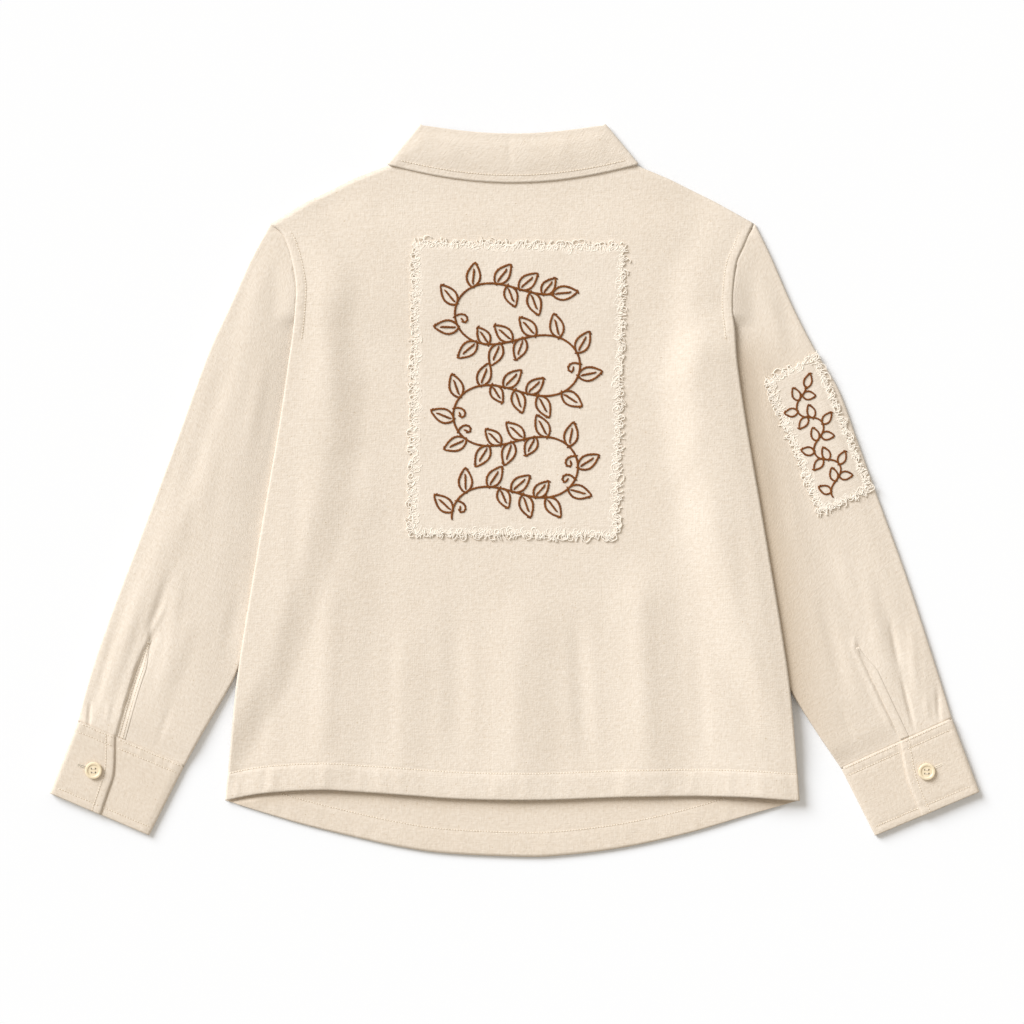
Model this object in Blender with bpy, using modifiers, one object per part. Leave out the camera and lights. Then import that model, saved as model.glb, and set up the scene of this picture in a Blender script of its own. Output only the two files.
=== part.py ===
"""An overshirt of undyed canvas, laid flat on a table with its back up.

Every piece is a wall of cloth: a surface worked out from the sizes below, then given
its thickness. The front panel rests on the table, the sleeves tuck under the body's
sides, and the back panel, collar and frayed patches lie on top.

The frame is +X to the right of the shirt as it lies, +Y to the collar and +Z up. The
tables are in millimetres in that frame, and every point is turned to metres once.
"""
import math
from collections import namedtuple

import bmesh
import bpy
from mathutils import Vector

MM = 0.001

# Cloth and clearances, in millimetres
CLOTH = 1.2
SEAM = 1.1
LAYER_GAP = 0.4
LAY_GAP = 0.6
PLACKET_GAP = 1.1
PITCH = CLOTH + LAYER_GAP
BODY_CENTRE = -1.8

# How high the layers lie
SLEEVE_HIGH = 4.2
BODY_LIFT = SLEEVE_HIGH + LAYER_GAP
LIFT_RAMP = 42.0
LIFT_SHELF = 20.0
SHOULDER_LIFT_SHARE = 0.3
SHOULDER_LIFT_RUN = 80.0
NECK_LIFT_END = 130.0
NECK_LIFT_RAMP = 70.0
NECK_LIFT_HALF_WIDTH = 205.0
AIR_LEAST = 0.2
AIR_COMMON = 0.5
AIR_TOP = 290.0
AIR_TOP_RAMP = 70.0
AIR_SIDE_RAMP = 50.0
FOLD_FADE = 60.0
FADE_SHARE = 0.45
COLLAR_MID = 3.1
LEAF_RADIUS = 3.1
STAND_RADIUS = 1.5
LIP_RADIUS = STAND_RADIUS - CLOTH

# How finely the panels are divided
SHOULDER_COLUMNS = 6
NECK_COLUMNS = 10
BODY_COLUMNS = 2 * SHOULDER_COLUMNS + NECK_COLUMNS
BODY_ROWS = 18
ROW_CROWDING = 1.4
COLUMN_CROWDING = 0.3
FRONT_TAIL_ROWS = 3
SLEEVE_ROWS = 14
SLEEVE_TOP_COLUMNS = 10
SLEEVE_UNDER_COLUMNS = 3
FOLD_STEPS = 4
EDGE_TEST_SHARE = 0.04
CUFF_ROWS = 4
CUFF_LOW_STEPS = 4
CUFF_UNDER_STEPS = 3
CUFF_FLAP_STEPS = 2


def table(columns, rows):
    """Make a table whose rows are read by the names of their columns."""
    row_type = namedtuple("Row", columns)
    return [row_type(*row) for row in rows]


# Shoulder lines, from the sleeve to the neck
SHOULDERS = table("column left_x right_x y", [
    (0, -243.5, 239.5, 267.0),
    (2, -208.0, 201.0, 288.5),
    (4, -161.0, 154.6, 311.6),
    (5, -125.2, 121.6, 325.3),
    (6, -116.2, 112.6, 335.0),
])

# Necklines: how far the back one dips, and the front one's pull and lowest point
BACK_NECK_DIP = 17.0
FRONT_NECK_PULL = (-92.5, 260.5)
FRONT_NECK_LOW = (-1.8, 236.8)

# Sides of the body from the shoulder tips, down the armholes and side seams
BODY_SIDES = table("y left right", [
    (267.0, -243.5, 239.5),
    (257.0, -232.5, 234.5),
    (245.0, -227.0, 229.5),
    (229.0, -222.5, 222.5),
    (205.0, -218.5, 218.8),
    (180.0, -219.5, 218.0),
    (160.0, -221.5, 220.2),
    (130.0, -225.8, 222.2),
    (68.5, -234.8, 231.2),
    (-21.5, -250.3, 246.7),
    (-74.5, -259.3, 255.7),
    (-149.5, -271.8, 268.2),
    (-199.5, -278.8, 275.2),
    (-263.5, -284.8, 281.2),
    (-310.2, -289.5, 285.0),
])
BACK_HEM = table("x y", [
    (-289.5, -310.2),
    (-258.5, -303.9),
    (-223.5, -300.5),
    (-188.5, -299.4),
    (-160.5, -301.1),
    (-118.5, -303.9),
    (-53.5, -308.5),
    (23.5, -309.5),
    (125.5, -306.2),
    (225.5, -306.3),
    (285.0, -310.2),
])
FRONT_HEM = table("x y", [
    (-289.5, -310.2),
    (-216.5, -332.5),
    (-160.5, -346.5),
    (-114.5, -356.5),
    (-74.5, -362.5),
    (-2.5, -366.3),
    (38.5, -365.9),
    (105.5, -357.9),
    (172.5, -343.2),
    (239.5, -323.1),
    (285.0, -310.2),
])

# The sleeves' outer fold, from the shoulder tip to the cuff
LEFT_OUTER = table("x y", [
    (-244.6, 267.2),
    (-262.5, 234.5),
    (-284.5, 186.5),
    (-306.5, 138.5),
    (-341.5, 42.5),
    (-377.5, -53.5),
    (-413.5, -149.5),
    (-428.5, -197.5),
    (-437.0, -230.9),
])
RIGHT_OUTER = table("x y", [
    (240.6, 267.2),
    (256.5, 234.5),
    (277.5, 186.5),
    (300.5, 141.5),
    (324.0, 101.9),
    (341.0, 56.5),
    (361.0, 0.5),
    (389.5, -77.5),
    (405.5, -125.5),
    (428.5, -197.5),
    (437.9, -228.4),
])

# The sleeves' inner fold, tucked under the body until it comes out above the cuff
LEFT_INNER = table("x y", [
    (-205.0, 112.0),
    (-213.0, 40.0),
    (-238.0, -70.0),
    (-262.0, -140.0),
    (-279.0, -185.0),
    (-289.2, -204.5),
    (-312.1, -243.5),
    (-330.5, -275.9),
])
RIGHT_INNER = table("x y", [
    (201.4, 112.0),
    (209.0, 40.0),
    (234.0, -70.0),
    (252.0, -140.0),
    (266.0, -182.0),
    (275.1, -199.5),
    (301.2, -240.5),
    (327.1, -278.5),
])

# The armhole end of each sleeve below the stretch that follows the body's edge
ARMHOLE_LOW = 162.0
ARMHOLE_TUCK = 2.0
INNER_FLARE = 0.6
LEFT_TUCK = table("x y", [(-221.5, 147.0), (-214.5, 128.0)])
RIGHT_TUCK = table("x y", [(219.5, 147.0), (211.5, 128.0)])

# Cuffs: the lower corners of the laid band, and where its buttoned end lies
CUFF_WALL = 1.6
CUFF_LOW_TOP = 4.2
CUFF_FLAP_TOP = CUFF_LOW_TOP + CUFF_WALL + LAYER_GAP
CUFF_OVERLAP = 0.15
CUFFS = table("name inner_low outer_low", [
    ("left", (-365.5, -344.9), (-465.2, -302.5)),
    ("right", (360.8, -345.3), (465.2, -301.2)),
])

# The buttoned end's curved edge: from the seam down, the share of the cuff's width that it covers
LEFT_FLAP = table("down share", [(0.0, 0.350), (0.17, 0.402), (0.46, 0.476), (0.71, 0.494), (1.0, 0.515)])
RIGHT_FLAP = table("down share", [(0.0, 0.470), (0.23, 0.509), (0.53, 0.547), (1.0, 0.556)])

# Folds: each a soft ridge, or a trough where its height is below zero
FOLD_COLUMNS = "x_high y_high x_low y_low half_width height"
BACK_FOLDS = table(FOLD_COLUMNS, [
    (-168.0, 40.0, -192.0, -330.0, 52.0, 2.1),
    (-112.0, -120.0, -118.0, -330.0, 34.0, 1.2),
    (6.0, -90.0, 4.0, -330.0, 44.0, 2.2),
    (124.0, -60.0, 136.0, -330.0, 42.0, 2.4),
    (188.0, 20.0, 212.0, -330.0, 40.0, 1.5),
    (-182.0, 236.0, -196.0, 60.0, 30.0, 1.3),
    (170.0, 236.0, 184.0, 60.0, 30.0, 1.2),
])
LEFT_SLEEVE_FOLDS = table(FOLD_COLUMNS, [
    (-281.0, 150.0, -340.0, -30.0, 24.0, -0.7),
    (-312.0, 30.0, -392.0, -170.0, 20.0, 0.8),
    (-343.0, -90.0, -393.0, -226.0, 13.0, -0.9),
    (-318.0, -110.0, -366.0, -232.0, 18.0, 1.1),
    (-398.0, -110.0, -416.0, -222.0, 14.0, 0.8),
])
RIGHT_SLEEVE_FOLDS = table(FOLD_COLUMNS, [
    (262.0, 60.0, 322.0, -110.0, 22.0, -0.6),
    (338.0, -60.0, 386.0, -226.0, 18.0, 1.0),
    (372.0, -120.0, 399.0, -226.0, 12.0, -0.8),
    (318.0, -120.0, 352.0, -236.0, 16.0, 0.9),
    (400.0, -120.0, 420.0, -222.0, 13.0, 0.8),
])

# Collar, from its fold line to its free edge
FOLD_CORNER = (-94.5, 367.2)
LEAF_CORNER = (-127.5, 327.2)
FOLD_DIP = 10.0
LEAF_DROP = 19.4
NECK_CORNER = (-117.5, 337.2)
NECK_DROP = 18.2
FOLD_FRONT = ((-62.0, 312.0), (-3.2, 272.0))
LEAF_FRONT = ((-104.0, 262.0), (-58.0, 212.0))
NECK_FRONT = ((-92.0, 262.0), (-3.2, 238.0))
LEAF_RISE = 0.8
FRONT_CLOSENESS = 6
BACK_CLOSENESS = 12
COLLAR_BACK_STEPS = 10
COLLAR_FRONT_STEPS = 5
LIP = 3.6
FOLD_TURN = 1.6
STAND_START = 5.4

# Neck slit in the front panel
SLIT_WIDTH = 2.0
SLIT_LENGTH = 157.0
SLIT_CUTTER_RISE = 40.0
SLIT_CUTTER_DEPTH = 30.0

# Patches: corners of the whole patch with its frayed edge
FRAY_LENGTH = 8.0
FRAY_STRIP = 3.6
FRAY_WALL = 1.0
LOCK_PITCH = 10.0
LOCK_SHARE = 0.52
LOCK_TIP_SHARE = 0.45
LOCK_LEAN = 0.25
LAID_STEP = 26.0
PATCHES = table("name top_left top_right low_right low_left", [
    ("back", (-103.5, 252.5), (113.5, 248.5), (106.5, -50.5), (-107.5, -47.5)),
    ("sleeve", (246.5, 111.5), (301.5, 139.5), (359.5, -1.5), (303.5, -28.0)),
])

# Sleeve plackets: the line of the slit, and the direction in which the strip lies beside it
PLACKET_WIDTH = 11.0
PLACKET_WALL = 1.0
PLACKET_STEPS = 4
PLACKETS = table("name x_high y_high x_bend y_bend x_low y_low x_beside y_beside", [
    ("left", -366.5, -148.5, -381.5, -184.0, -399.6, -246.0, 0.93, -0.36),
    ("right", 341.0, -157.5, 358.0, -195.0, 384.5, -250.5, 0.92, 0.38),
])

# Buttons
BUTTON_RADIUS = 8.5
BUTTON_THICK = 3.0
BUTTON_RIM = 2.2
BUTTON_DISH = 0.8
BUTTON_RIM_SLOPE = 1.0
BUTTON_ROUND = 0.7
BUTTON_HOLE_RADIUS = 0.95
BUTTON_HOLE_OFFSET = 1.9
BUTTON_SEGMENTS = 24
HOLE_SEGMENTS = 8
BUTTON_PLACES = {"left": (-420.5, -279.8), "right": (411.9, -280.9)}


def ease(share):
    """Rise smoothly from 0 to 1 while the share goes from 0 to 1."""
    share = min(max(share, 0.0), 1.0)
    return share * share * (3.0 - 2.0 * share)


def mix(a, b, share):
    """Go the given share of the way from a to b, for numbers or points."""
    if isinstance(a, (tuple, list)):
        return tuple(mix(p, q, share) for p, q in zip(a, b))
    return a + (b - a) * share


def curve_of_three(start, pull, end, share):
    """Give a point on the smooth curve between two ends, drawn towards a third point."""
    return mix(mix(start, pull, share), mix(pull, end, share), share)


def mirrored(point):
    """Mirror a point on the body's centre line."""
    return (2.0 * BODY_CENTRE - point[0], point[1])


def read_between(keys, values, at):
    """Read a value between table rows along a smooth line that passes through each."""
    if keys[0] > keys[-1]:
        keys = keys[::-1]
        values = values[::-1]
    at = min(max(at, keys[0]), keys[-1])
    slot = 0
    while slot < len(keys) - 2 and at > keys[slot + 1]:
        slot += 1
    slopes = []
    for end in (slot, slot + 1):
        before = max(end - 1, 0)
        after = min(end + 1, len(keys) - 1)
        slopes.append((values[after] - values[before]) / (keys[after] - keys[before]))
    span = keys[slot + 1] - keys[slot]
    t = (at - keys[slot]) / span
    rise = values[slot + 1] - values[slot]
    bend = t * (1.0 - t) * ((1.0 - t) * (slopes[0] * span - rise) - t * (slopes[1] * span - rise))
    return values[slot] + rise * t + bend


def column_of(rows, name):
    """List one named column of a table."""
    return [getattr(row, name) for row in rows]


def path_along(rows):
    """Make a function that gives the point at a share of the way along a table's rows."""
    points = [(row.x, row.y) for row in rows]
    lengths = [0.0]
    for start, end in zip(points, points[1:]):
        lengths.append(lengths[-1] + math.dist(start, end))
    shares = [length / lengths[-1] for length in lengths]
    xs = [point[0] for point in points]
    ys = [point[1] for point in points]
    return lambda share: (read_between(shares, xs, share), read_between(shares, ys, share))


def side_x(name, y):
    """Give the body's left or right edge at a height on the shirt."""
    return read_between(column_of(BODY_SIDES, "y"), column_of(BODY_SIDES, name), y)


def coons(top, bottom, left, right, across, down):
    """Fill a patch between four edge curves, each read by its own share."""
    corner = mix(mix(top(0.0), top(1.0), across), mix(bottom(0.0), bottom(1.0), across), down)
    rails = mix(top(across), bottom(across), down)
    sides = mix(left(down), right(down), across)
    return tuple(rails[axis] + sides[axis] - corner[axis] for axis in range(2))


def fold_height(folds, x, y):
    """Add up the soft ridges and troughs that reach a point."""
    height = 0.0
    for fold in folds:
        run_x = fold.x_low - fold.x_high
        run_y = fold.y_low - fold.y_high
        length = math.hypot(run_x, run_y)
        along = ((x - fold.x_high) * run_x + (y - fold.y_high) * run_y) / length
        off = abs((x - fold.x_high) * run_y - (y - fold.y_high) * run_x) / length
        if off < fold.half_width:
            swell = 0.5 + 0.5 * math.cos(math.pi * off / fold.half_width)
            fade = min(along, length - along) / min(FOLD_FADE, FADE_SHARE * length)
            height += fold.height * swell * ease(fade)
    return height


def inner_line(side, y):
    """Give where the tucked sleeve's inner fold lies at a height on the shirt."""
    rows = LEFT_INNER if side == "left" else RIGHT_INNER
    sign = -1.0 if side == "left" else 1.0
    if y >= ARMHOLE_LOW:
        return side_x(side, y) - ARMHOLE_TUCK * sign
    if y > rows[0].y:
        share = (ARMHOLE_LOW - y) / (ARMHOLE_LOW - rows[0].y)
        return mix(side_x(side, ARMHOLE_LOW) - ARMHOLE_TUCK * sign, rows[0].x, share)
    beyond = min(y - rows[-1].y, 0.0)
    return read_between(column_of(rows, "y"), column_of(rows, "x"), y) - sign * INNER_FLARE * beyond


def sleeve_lift(x, y):
    """Give how far a tucked sleeve lifts the body."""
    below_tip = ease((BODY_SIDES[0].y - y) / SHOULDER_LIFT_RUN)
    shoulder_rise = mix(SHOULDER_LIFT_SHARE, 1.0, below_tip)
    left_reach = inner_line("left", y) - x
    right_reach = x - inner_line("right", y)
    reach = max(left_reach, right_reach) + LIFT_SHELF + LIFT_RAMP
    return BODY_LIFT * shoulder_rise * ease(reach / LIFT_RAMP)


def neck_lift(x, y):
    """Give how far the folded collar under the neck lifts the body."""
    along = ease((y - NECK_LIFT_END) / NECK_LIFT_RAMP)
    across = ease((NECK_LIFT_HALF_WIDTH - abs(x - BODY_CENTRE)) / NECK_LIFT_RAMP)
    return PITCH * along * across


def front_under(x, y):
    """Give the height of the front panel's underside."""
    return sleeve_lift(x, y) + neck_lift(x, y)


def air(x, y):
    """Give the room between the front and the back panel."""
    below_neck = ease((AIR_TOP - y) / AIR_TOP_RAMP)
    from_side = min(x - side_x("left", y), side_x("right", y) - x)
    loose = AIR_COMMON + fold_height(BACK_FOLDS, x, y)
    return AIR_LEAST + below_neck * ease(from_side / AIR_SIDE_RAMP) * loose


def back_top(x, y):
    """Give the height of the back panel's upper side."""
    return front_under(x, y) + CLOTH + LAYER_GAP + CLOTH + air(x, y)


def sleeve_top(side, x, y):
    """Give the height of a sleeve's upper side."""
    folds = LEFT_SLEEVE_FOLDS if side == "left" else RIGHT_SLEEVE_FOLDS
    return SLEEVE_HIGH + fold_height(folds, x, y)


def start_scene():
    """Clear the scene, then make the part's collection and the empty that carries it."""
    for item in list(bpy.data.objects):
        bpy.data.objects.remove(item, do_unlink=True)
    for name in ("embroidered_shirt", "cutters"):
        if name not in bpy.data.collections:
            collection = bpy.data.collections.new(name)
            bpy.context.scene.collection.children.link(collection)
    carrier = bpy.data.objects.new("shirt_origin", None)
    bpy.data.collections["embroidered_shirt"].objects.link(carrier)
    return carrier


def finish_material(name, colour, roughness):
    """Make one plain finish."""
    material = bpy.data.materials.new(name)
    material.use_nodes = True
    shader = material.node_tree.nodes["Principled BSDF"]
    shader.inputs["Base Color"].default_value = (*colour, 1.0)
    shader.inputs["Roughness"].default_value = roughness
    shader.inputs["Metallic"].default_value = 0.0
    return material


def mesh_object(name, bm, finish, collection="embroidered_shirt"):
    """Turn a bmesh into a named object with its own finish."""
    mesh = bpy.data.meshes.new(name)
    bm.to_mesh(mesh)
    bm.free()
    mesh.shade_smooth()
    piece = bpy.data.objects.new(name, mesh)
    bpy.data.collections[collection].objects.link(piece)
    if finish:
        colour, roughness = finish
        mesh.materials.append(finish_material(name, colour, roughness))
        piece.parent = bpy.data.objects["shirt_origin"]
    return piece


def wall(piece, thickness):
    """Give an open surface its thickness on the inner side."""
    solid = piece.modifiers.new("wall", "SOLIDIFY")
    solid.thickness = thickness * MM
    solid.offset = -1.0
    solid.use_rim = True
    return piece


def grid_mesh(rows, ring=False, flip=False):
    """Join rows of points into a surface, closed round where each row is a ring."""
    bm = bmesh.new()
    verts = [[bm.verts.new(Vector(point) * MM) for point in row] for row in rows]
    for upper, lower in zip(verts, verts[1:]):
        count = len(upper)
        for here in range(count if ring else count - 1):
            after = (here + 1) % count
            for corners in ((upper[here], lower[here], lower[after]),
                            (upper[here], lower[after], upper[after])):
                bm.faces.new(corners[::-1] if flip else corners)
    bmesh.ops.remove_doubles(bm, verts=bm.verts, dist=0.00001)
    return bm


CANVAS = ((0.86, 0.76, 0.62), 0.9)
PATCH_CANVAS = ((0.88, 0.79, 0.66), 0.9)
FRAY = ((0.90, 0.83, 0.72), 0.95)
HORN = ((0.84, 0.74, 0.56), 0.4)


def column_share(column):
    """Space the body's columns closer together towards its sides."""
    even = column / BODY_COLUMNS
    return even - COLUMN_CROWDING * math.sin(2.0 * math.pi * even) / (2.0 * math.pi)


def shoulder_edge(column):
    """Give the point of the shoulder line at a column, on either side of the neck."""
    right = column > 0.5 * BODY_COLUMNS
    from_tip = BODY_COLUMNS - column if right else column
    columns = column_of(SHOULDERS, "column")
    end = next(slot for slot in range(1, len(columns)) if from_tip <= columns[slot])
    share = (from_tip - columns[end - 1]) / (columns[end] - columns[end - 1])
    x_name = "right_x" if right else "left_x"
    near = (getattr(SHOULDERS[end - 1], x_name), SHOULDERS[end - 1].y)
    return mix(near, (getattr(SHOULDERS[end], x_name), SHOULDERS[end].y), share)


def back_edge(column):
    """Give the top edge of the back panel at a column."""
    across_neck = (column - SHOULDER_COLUMNS) / NECK_COLUMNS
    if not 0.0 < across_neck < 1.0:
        return shoulder_edge(column)
    neck = SHOULDERS[-1]
    bow = 1.0 - (2.0 * across_neck - 1.0) ** 2
    return (mix(neck.left_x, neck.right_x, across_neck), neck.y - BACK_NECK_DIP * bow)


def front_edge(column):
    """Give the top edge of the front panel, with its deeper neckline."""
    across_neck = (column - SHOULDER_COLUMNS) / NECK_COLUMNS
    if not 0.0 < across_neck < 1.0:
        return shoulder_edge(column)
    corner = (SHOULDERS[-1].left_x, SHOULDERS[-1].y)
    from_side = 2.0 * min(across_neck, 1.0 - across_neck)
    point = curve_of_three(corner, FRONT_NECK_PULL, FRONT_NECK_LOW, from_side)
    return point if across_neck <= 0.5 else mirrored(point)


def body_point(edge, column, row):
    """Give a point of the body between its top edge, its sides and the back hem."""
    across = column_share(column)
    down = (row / BODY_ROWS) ** ROW_CROWDING
    top_y = BODY_SIDES[0].y
    y = mix(top_y, BODY_SIDES[-1].y, down)
    left = (side_x("left", y), y)
    right = (side_x("right", y), y)
    hem_x = mix(BACK_HEM[0].x, BACK_HEM[-1].x, across)
    hem_y = read_between(column_of(BACK_HEM, "x"), column_of(BACK_HEM, "y"), hem_x)
    tips = (BODY_SIDES[0].left, BODY_SIDES[0].right)
    corners_top = mix((tips[0], top_y), (tips[1], top_y), across)
    corners_low = mix((BACK_HEM[0].x, BACK_HEM[0].y), (BACK_HEM[-1].x, BACK_HEM[-1].y), across)
    rails = mix(edge(column), (hem_x, hem_y), down)
    sides = mix(left, right, across)
    corner = mix(corners_top, corners_low, down)
    return tuple(rails[axis] + sides[axis] - corner[axis] for axis in range(2))


def build_back_panel():
    """Lay the back panel over the front, its points being the front's moved up."""
    rows = []
    for row in range(BODY_ROWS + 1):
        points = [body_point(back_edge, column, row) for column in range(BODY_COLUMNS + 1)]
        rows.append([(x, y, back_top(x, y)) for x, y in points])
    wall(mesh_object("back_panel", grid_mesh(rows), CANVAS), CLOTH)


def build_front_panel():
    """Lay the front panel on the table, with its curved tail past the back hem."""
    rows = []
    for row in range(BODY_ROWS + 1):
        points = [body_point(front_edge, column, row) for column in range(BODY_COLUMNS + 1)]
        rows.append([(x, y, front_under(x, y)) for x, y in points])
    hem_row = rows[-1]
    for tail in range(1, FRONT_TAIL_ROWS + 1):
        row = []
        for x, y, _ in hem_row:
            low = read_between(column_of(FRONT_HEM, "x"), column_of(FRONT_HEM, "y"), x)
            tail_y = mix(y, low, tail / FRONT_TAIL_ROWS)
            row.append((x, tail_y, front_under(x, tail_y)))
        rows.append(row)
    panel = wall(mesh_object("front_panel", grid_mesh(rows, flip=True), CANVAS), CLOTH)
    cutter = bmesh.new()
    bmesh.ops.create_cube(cutter, size=1.0)
    size = Vector((SLIT_WIDTH, SLIT_LENGTH + SLIT_CUTTER_RISE, SLIT_CUTTER_DEPTH)) * MM
    bmesh.ops.scale(cutter, vec=size, verts=cutter.verts)
    middle_y = FRONT_NECK_LOW[1] - 0.5 * (SLIT_LENGTH - SLIT_CUTTER_RISE)
    bmesh.ops.translate(cutter, vec=Vector((BODY_CENTRE, middle_y, 0.0)) * MM, verts=cutter.verts)
    cut_with(panel, mesh_object("neck_slit_cutter", cutter, None, "cutters"))


def cut_with(piece, cutter):
    """Take a cutter's shape out of a piece."""
    cutter.hide_render = True
    cutter.display_type = "WIRE"
    cut = piece.modifiers.new("cut", "BOOLEAN")
    cut.operation = "DIFFERENCE"
    cut.solver = "EXACT"
    cut.object = cutter


def flat_ring(path, low, high_of, upper_count, under_count, fold_room):
    """Run once round a flattened tube: over the top, round a fold, back below, round the other."""
    radius_of = {}
    ends = {}
    for end, inward in ((0.0, 1.0), (1.0, -1.0)):
        edge = path(end)
        near = path(end + EDGE_TEST_SHARE * inward)
        span = math.dist(edge, near)
        ends[end] = ((edge[0] - near[0]) / span, (edge[1] - near[1]) / span)
        radius_of[end] = 0.5 * (high_of(*edge) - low)
    length = math.dist(path(0.0), path(1.0))
    room = fold_room / length
    ring = []
    for step in range(upper_count + 1):
        x, y = path(mix(room, 1.0 - room, step / upper_count))
        ring.append((x, y, high_of(x, y)))
    for end in (1.0, 0.0):
        centre = path(1.0 - room if end else room)
        radius = radius_of[end]
        for step in range(1, FOLD_STEPS):
            angle = math.pi * (0.5 - step / FOLD_STEPS)
            if end == 0.0:
                angle = -angle
            out = fold_room * math.cos(angle)
            height = low + radius + radius * math.sin(angle)
            ring.append((centre[0] + ends[end][0] * out, centre[1] + ends[end][1] * out, height))
        if end:
            for step in range(under_count + 1):
                x, y = path(mix(1.0 - room, room, step / under_count))
                ring.append((x, y, low))
    return ring


def build_sleeve(side):
    """Loft a sleeve through flattened rings from the armhole to the cuff seam."""
    left = side == "left"
    outer = path_along(LEFT_OUTER if left else RIGHT_OUTER)
    inner_rows = LEFT_INNER if left else RIGHT_INNER
    inner = path_along(inner_rows)
    sign = -1.0 if left else 1.0
    seam_rows = [outer(0.0)]
    for row in BODY_SIDES[1:]:
        if row.y >= ARMHOLE_LOW:
            seam_rows.append((getattr(row, side) + sign * SEAM, row.y))
    seam_rows.append((side_x(side, ARMHOLE_LOW) + sign * SEAM, ARMHOLE_LOW))
    seam_rows += [(row.x, row.y) for row in (LEFT_TUCK if left else RIGHT_TUCK)]
    seam_rows.append(inner(0.0))
    armhole = path_along(table("x y", seam_rows))

    def cuff_seam(share):
        return mix(outer(1.0), inner(1.0), share)

    rings = []
    for row in range(SLEEVE_ROWS + 1):
        down = row / SLEEVE_ROWS

        def path(share, down=down):
            return coons(armhole, cuff_seam, outer, inner, share, down)

        def high(x, y):
            return sleeve_top(side, x, y)

        rings.append(flat_ring(path, 0.0, high, SLEEVE_TOP_COLUMNS, SLEEVE_UNDER_COLUMNS,
                               0.5 * SLEEVE_HIGH))
    surface = grid_mesh(rings, ring=True, flip=not left)
    wall(mesh_object("sleeve_" + side, surface, CANVAS), CLOTH)


def build_cuff(cuff):
    """Wrap the cuff band round, its buttoned end lying over its other end."""
    left = cuff.name == "left"
    outer_end = (LEFT_OUTER if left else RIGHT_OUTER)[-1]
    inner_end = (LEFT_INNER if left else RIGHT_INNER)[-1]
    height = math.dist((outer_end.x, outer_end.y), cuff.outer_low)
    flap_edge = LEFT_FLAP if left else RIGHT_FLAP
    flap_radius = 0.5 * CUFF_FLAP_TOP
    low_radius = 0.5 * CUFF_LOW_TOP
    rows = []
    for row in range(CUFF_ROWS + 1):
        down = mix(LAYER_GAP / height, 1.0, row / CUFF_ROWS)
        outer = mix((outer_end.x, outer_end.y), cuff.outer_low, down)
        inner = mix((inner_end.x, inner_end.y), cuff.inner_low, down)
        length = math.dist(outer, inner)
        out = ((outer[0] - inner[0]) / length, (outer[1] - inner[1]) / length)
        flap = read_between(column_of(flap_edge, "down"), column_of(flap_edge, "share"), down)
        flap_room = flap_radius / length
        low_room = low_radius / length
        points = []
        for step in range(CUFF_LOW_STEPS + 1):
            share = mix(flap - CUFF_OVERLAP, 1.0 - low_room, step / CUFF_LOW_STEPS)
            points.append((*mix(outer, inner, share), CUFF_LOW_TOP))
        for step in range(1, FOLD_STEPS):
            angle = math.pi * (0.5 - step / FOLD_STEPS)
            reach = low_radius * math.cos(angle)
            centre = mix(outer, inner, 1.0 - low_room)
            points.append((centre[0] - out[0] * reach, centre[1] - out[1] * reach,
                           low_radius + low_radius * math.sin(angle)))
        for step in range(CUFF_UNDER_STEPS + 1):
            share = mix(1.0 - low_room, flap_room, step / CUFF_UNDER_STEPS)
            points.append((*mix(outer, inner, share), 0.0))
        for step in range(1, FOLD_STEPS):
            angle = math.pi * (step / FOLD_STEPS - 0.5)
            reach = flap_radius * math.cos(angle)
            centre = mix(outer, inner, flap_room)
            points.append((centre[0] + out[0] * reach, centre[1] + out[1] * reach,
                           flap_radius + flap_radius * math.sin(angle)))
        for step in range(CUFF_FLAP_STEPS + 1):
            share = mix(flap_room, flap, step / CUFF_FLAP_STEPS)
            points.append((*mix(outer, inner, share), CUFF_FLAP_TOP))
        rows.append(points)
    surface = grid_mesh(rows, flip=not left)
    wall(mesh_object("cuff_" + cuff.name, surface, CANVAS), CUFF_WALL)


def collar_stations():
    """List where the collar is read: from one front end, round a side, across and back."""
    stations = []
    for step in range(COLLAR_FRONT_STEPS):
        stations.append(("front", "left", 1.0 - step / COLLAR_FRONT_STEPS))
    for step in range(FOLD_STEPS + 1):
        stations.append(("side", "left", step / FOLD_STEPS))
    for step in range(1, COLLAR_BACK_STEPS):
        stations.append(("back", "both", step / COLLAR_BACK_STEPS))
    for step in range(FOLD_STEPS + 1):
        stations.append(("side", "right", 1.0 - step / FOLD_STEPS))
    for step in range(1, COLLAR_FRONT_STEPS + 1):
        stations.append(("front", "right", step / COLLAR_FRONT_STEPS))
    return stations


def collar_line(station, corner, drop, front):
    """Give the plan point of one line of the collar at a station, before the sides round."""
    part, side, share = station
    if part == "back":
        bow = 1.0 - (2.0 * share - 1.0) ** 2
        x, y = mix(corner, mirrored(corner), share)
        return (x, y - drop * bow)
    point = corner
    if part == "front":
        point = curve_of_three(corner, front[0], front[1], share)
    return point if side == "left" else mirrored(point)


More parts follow.
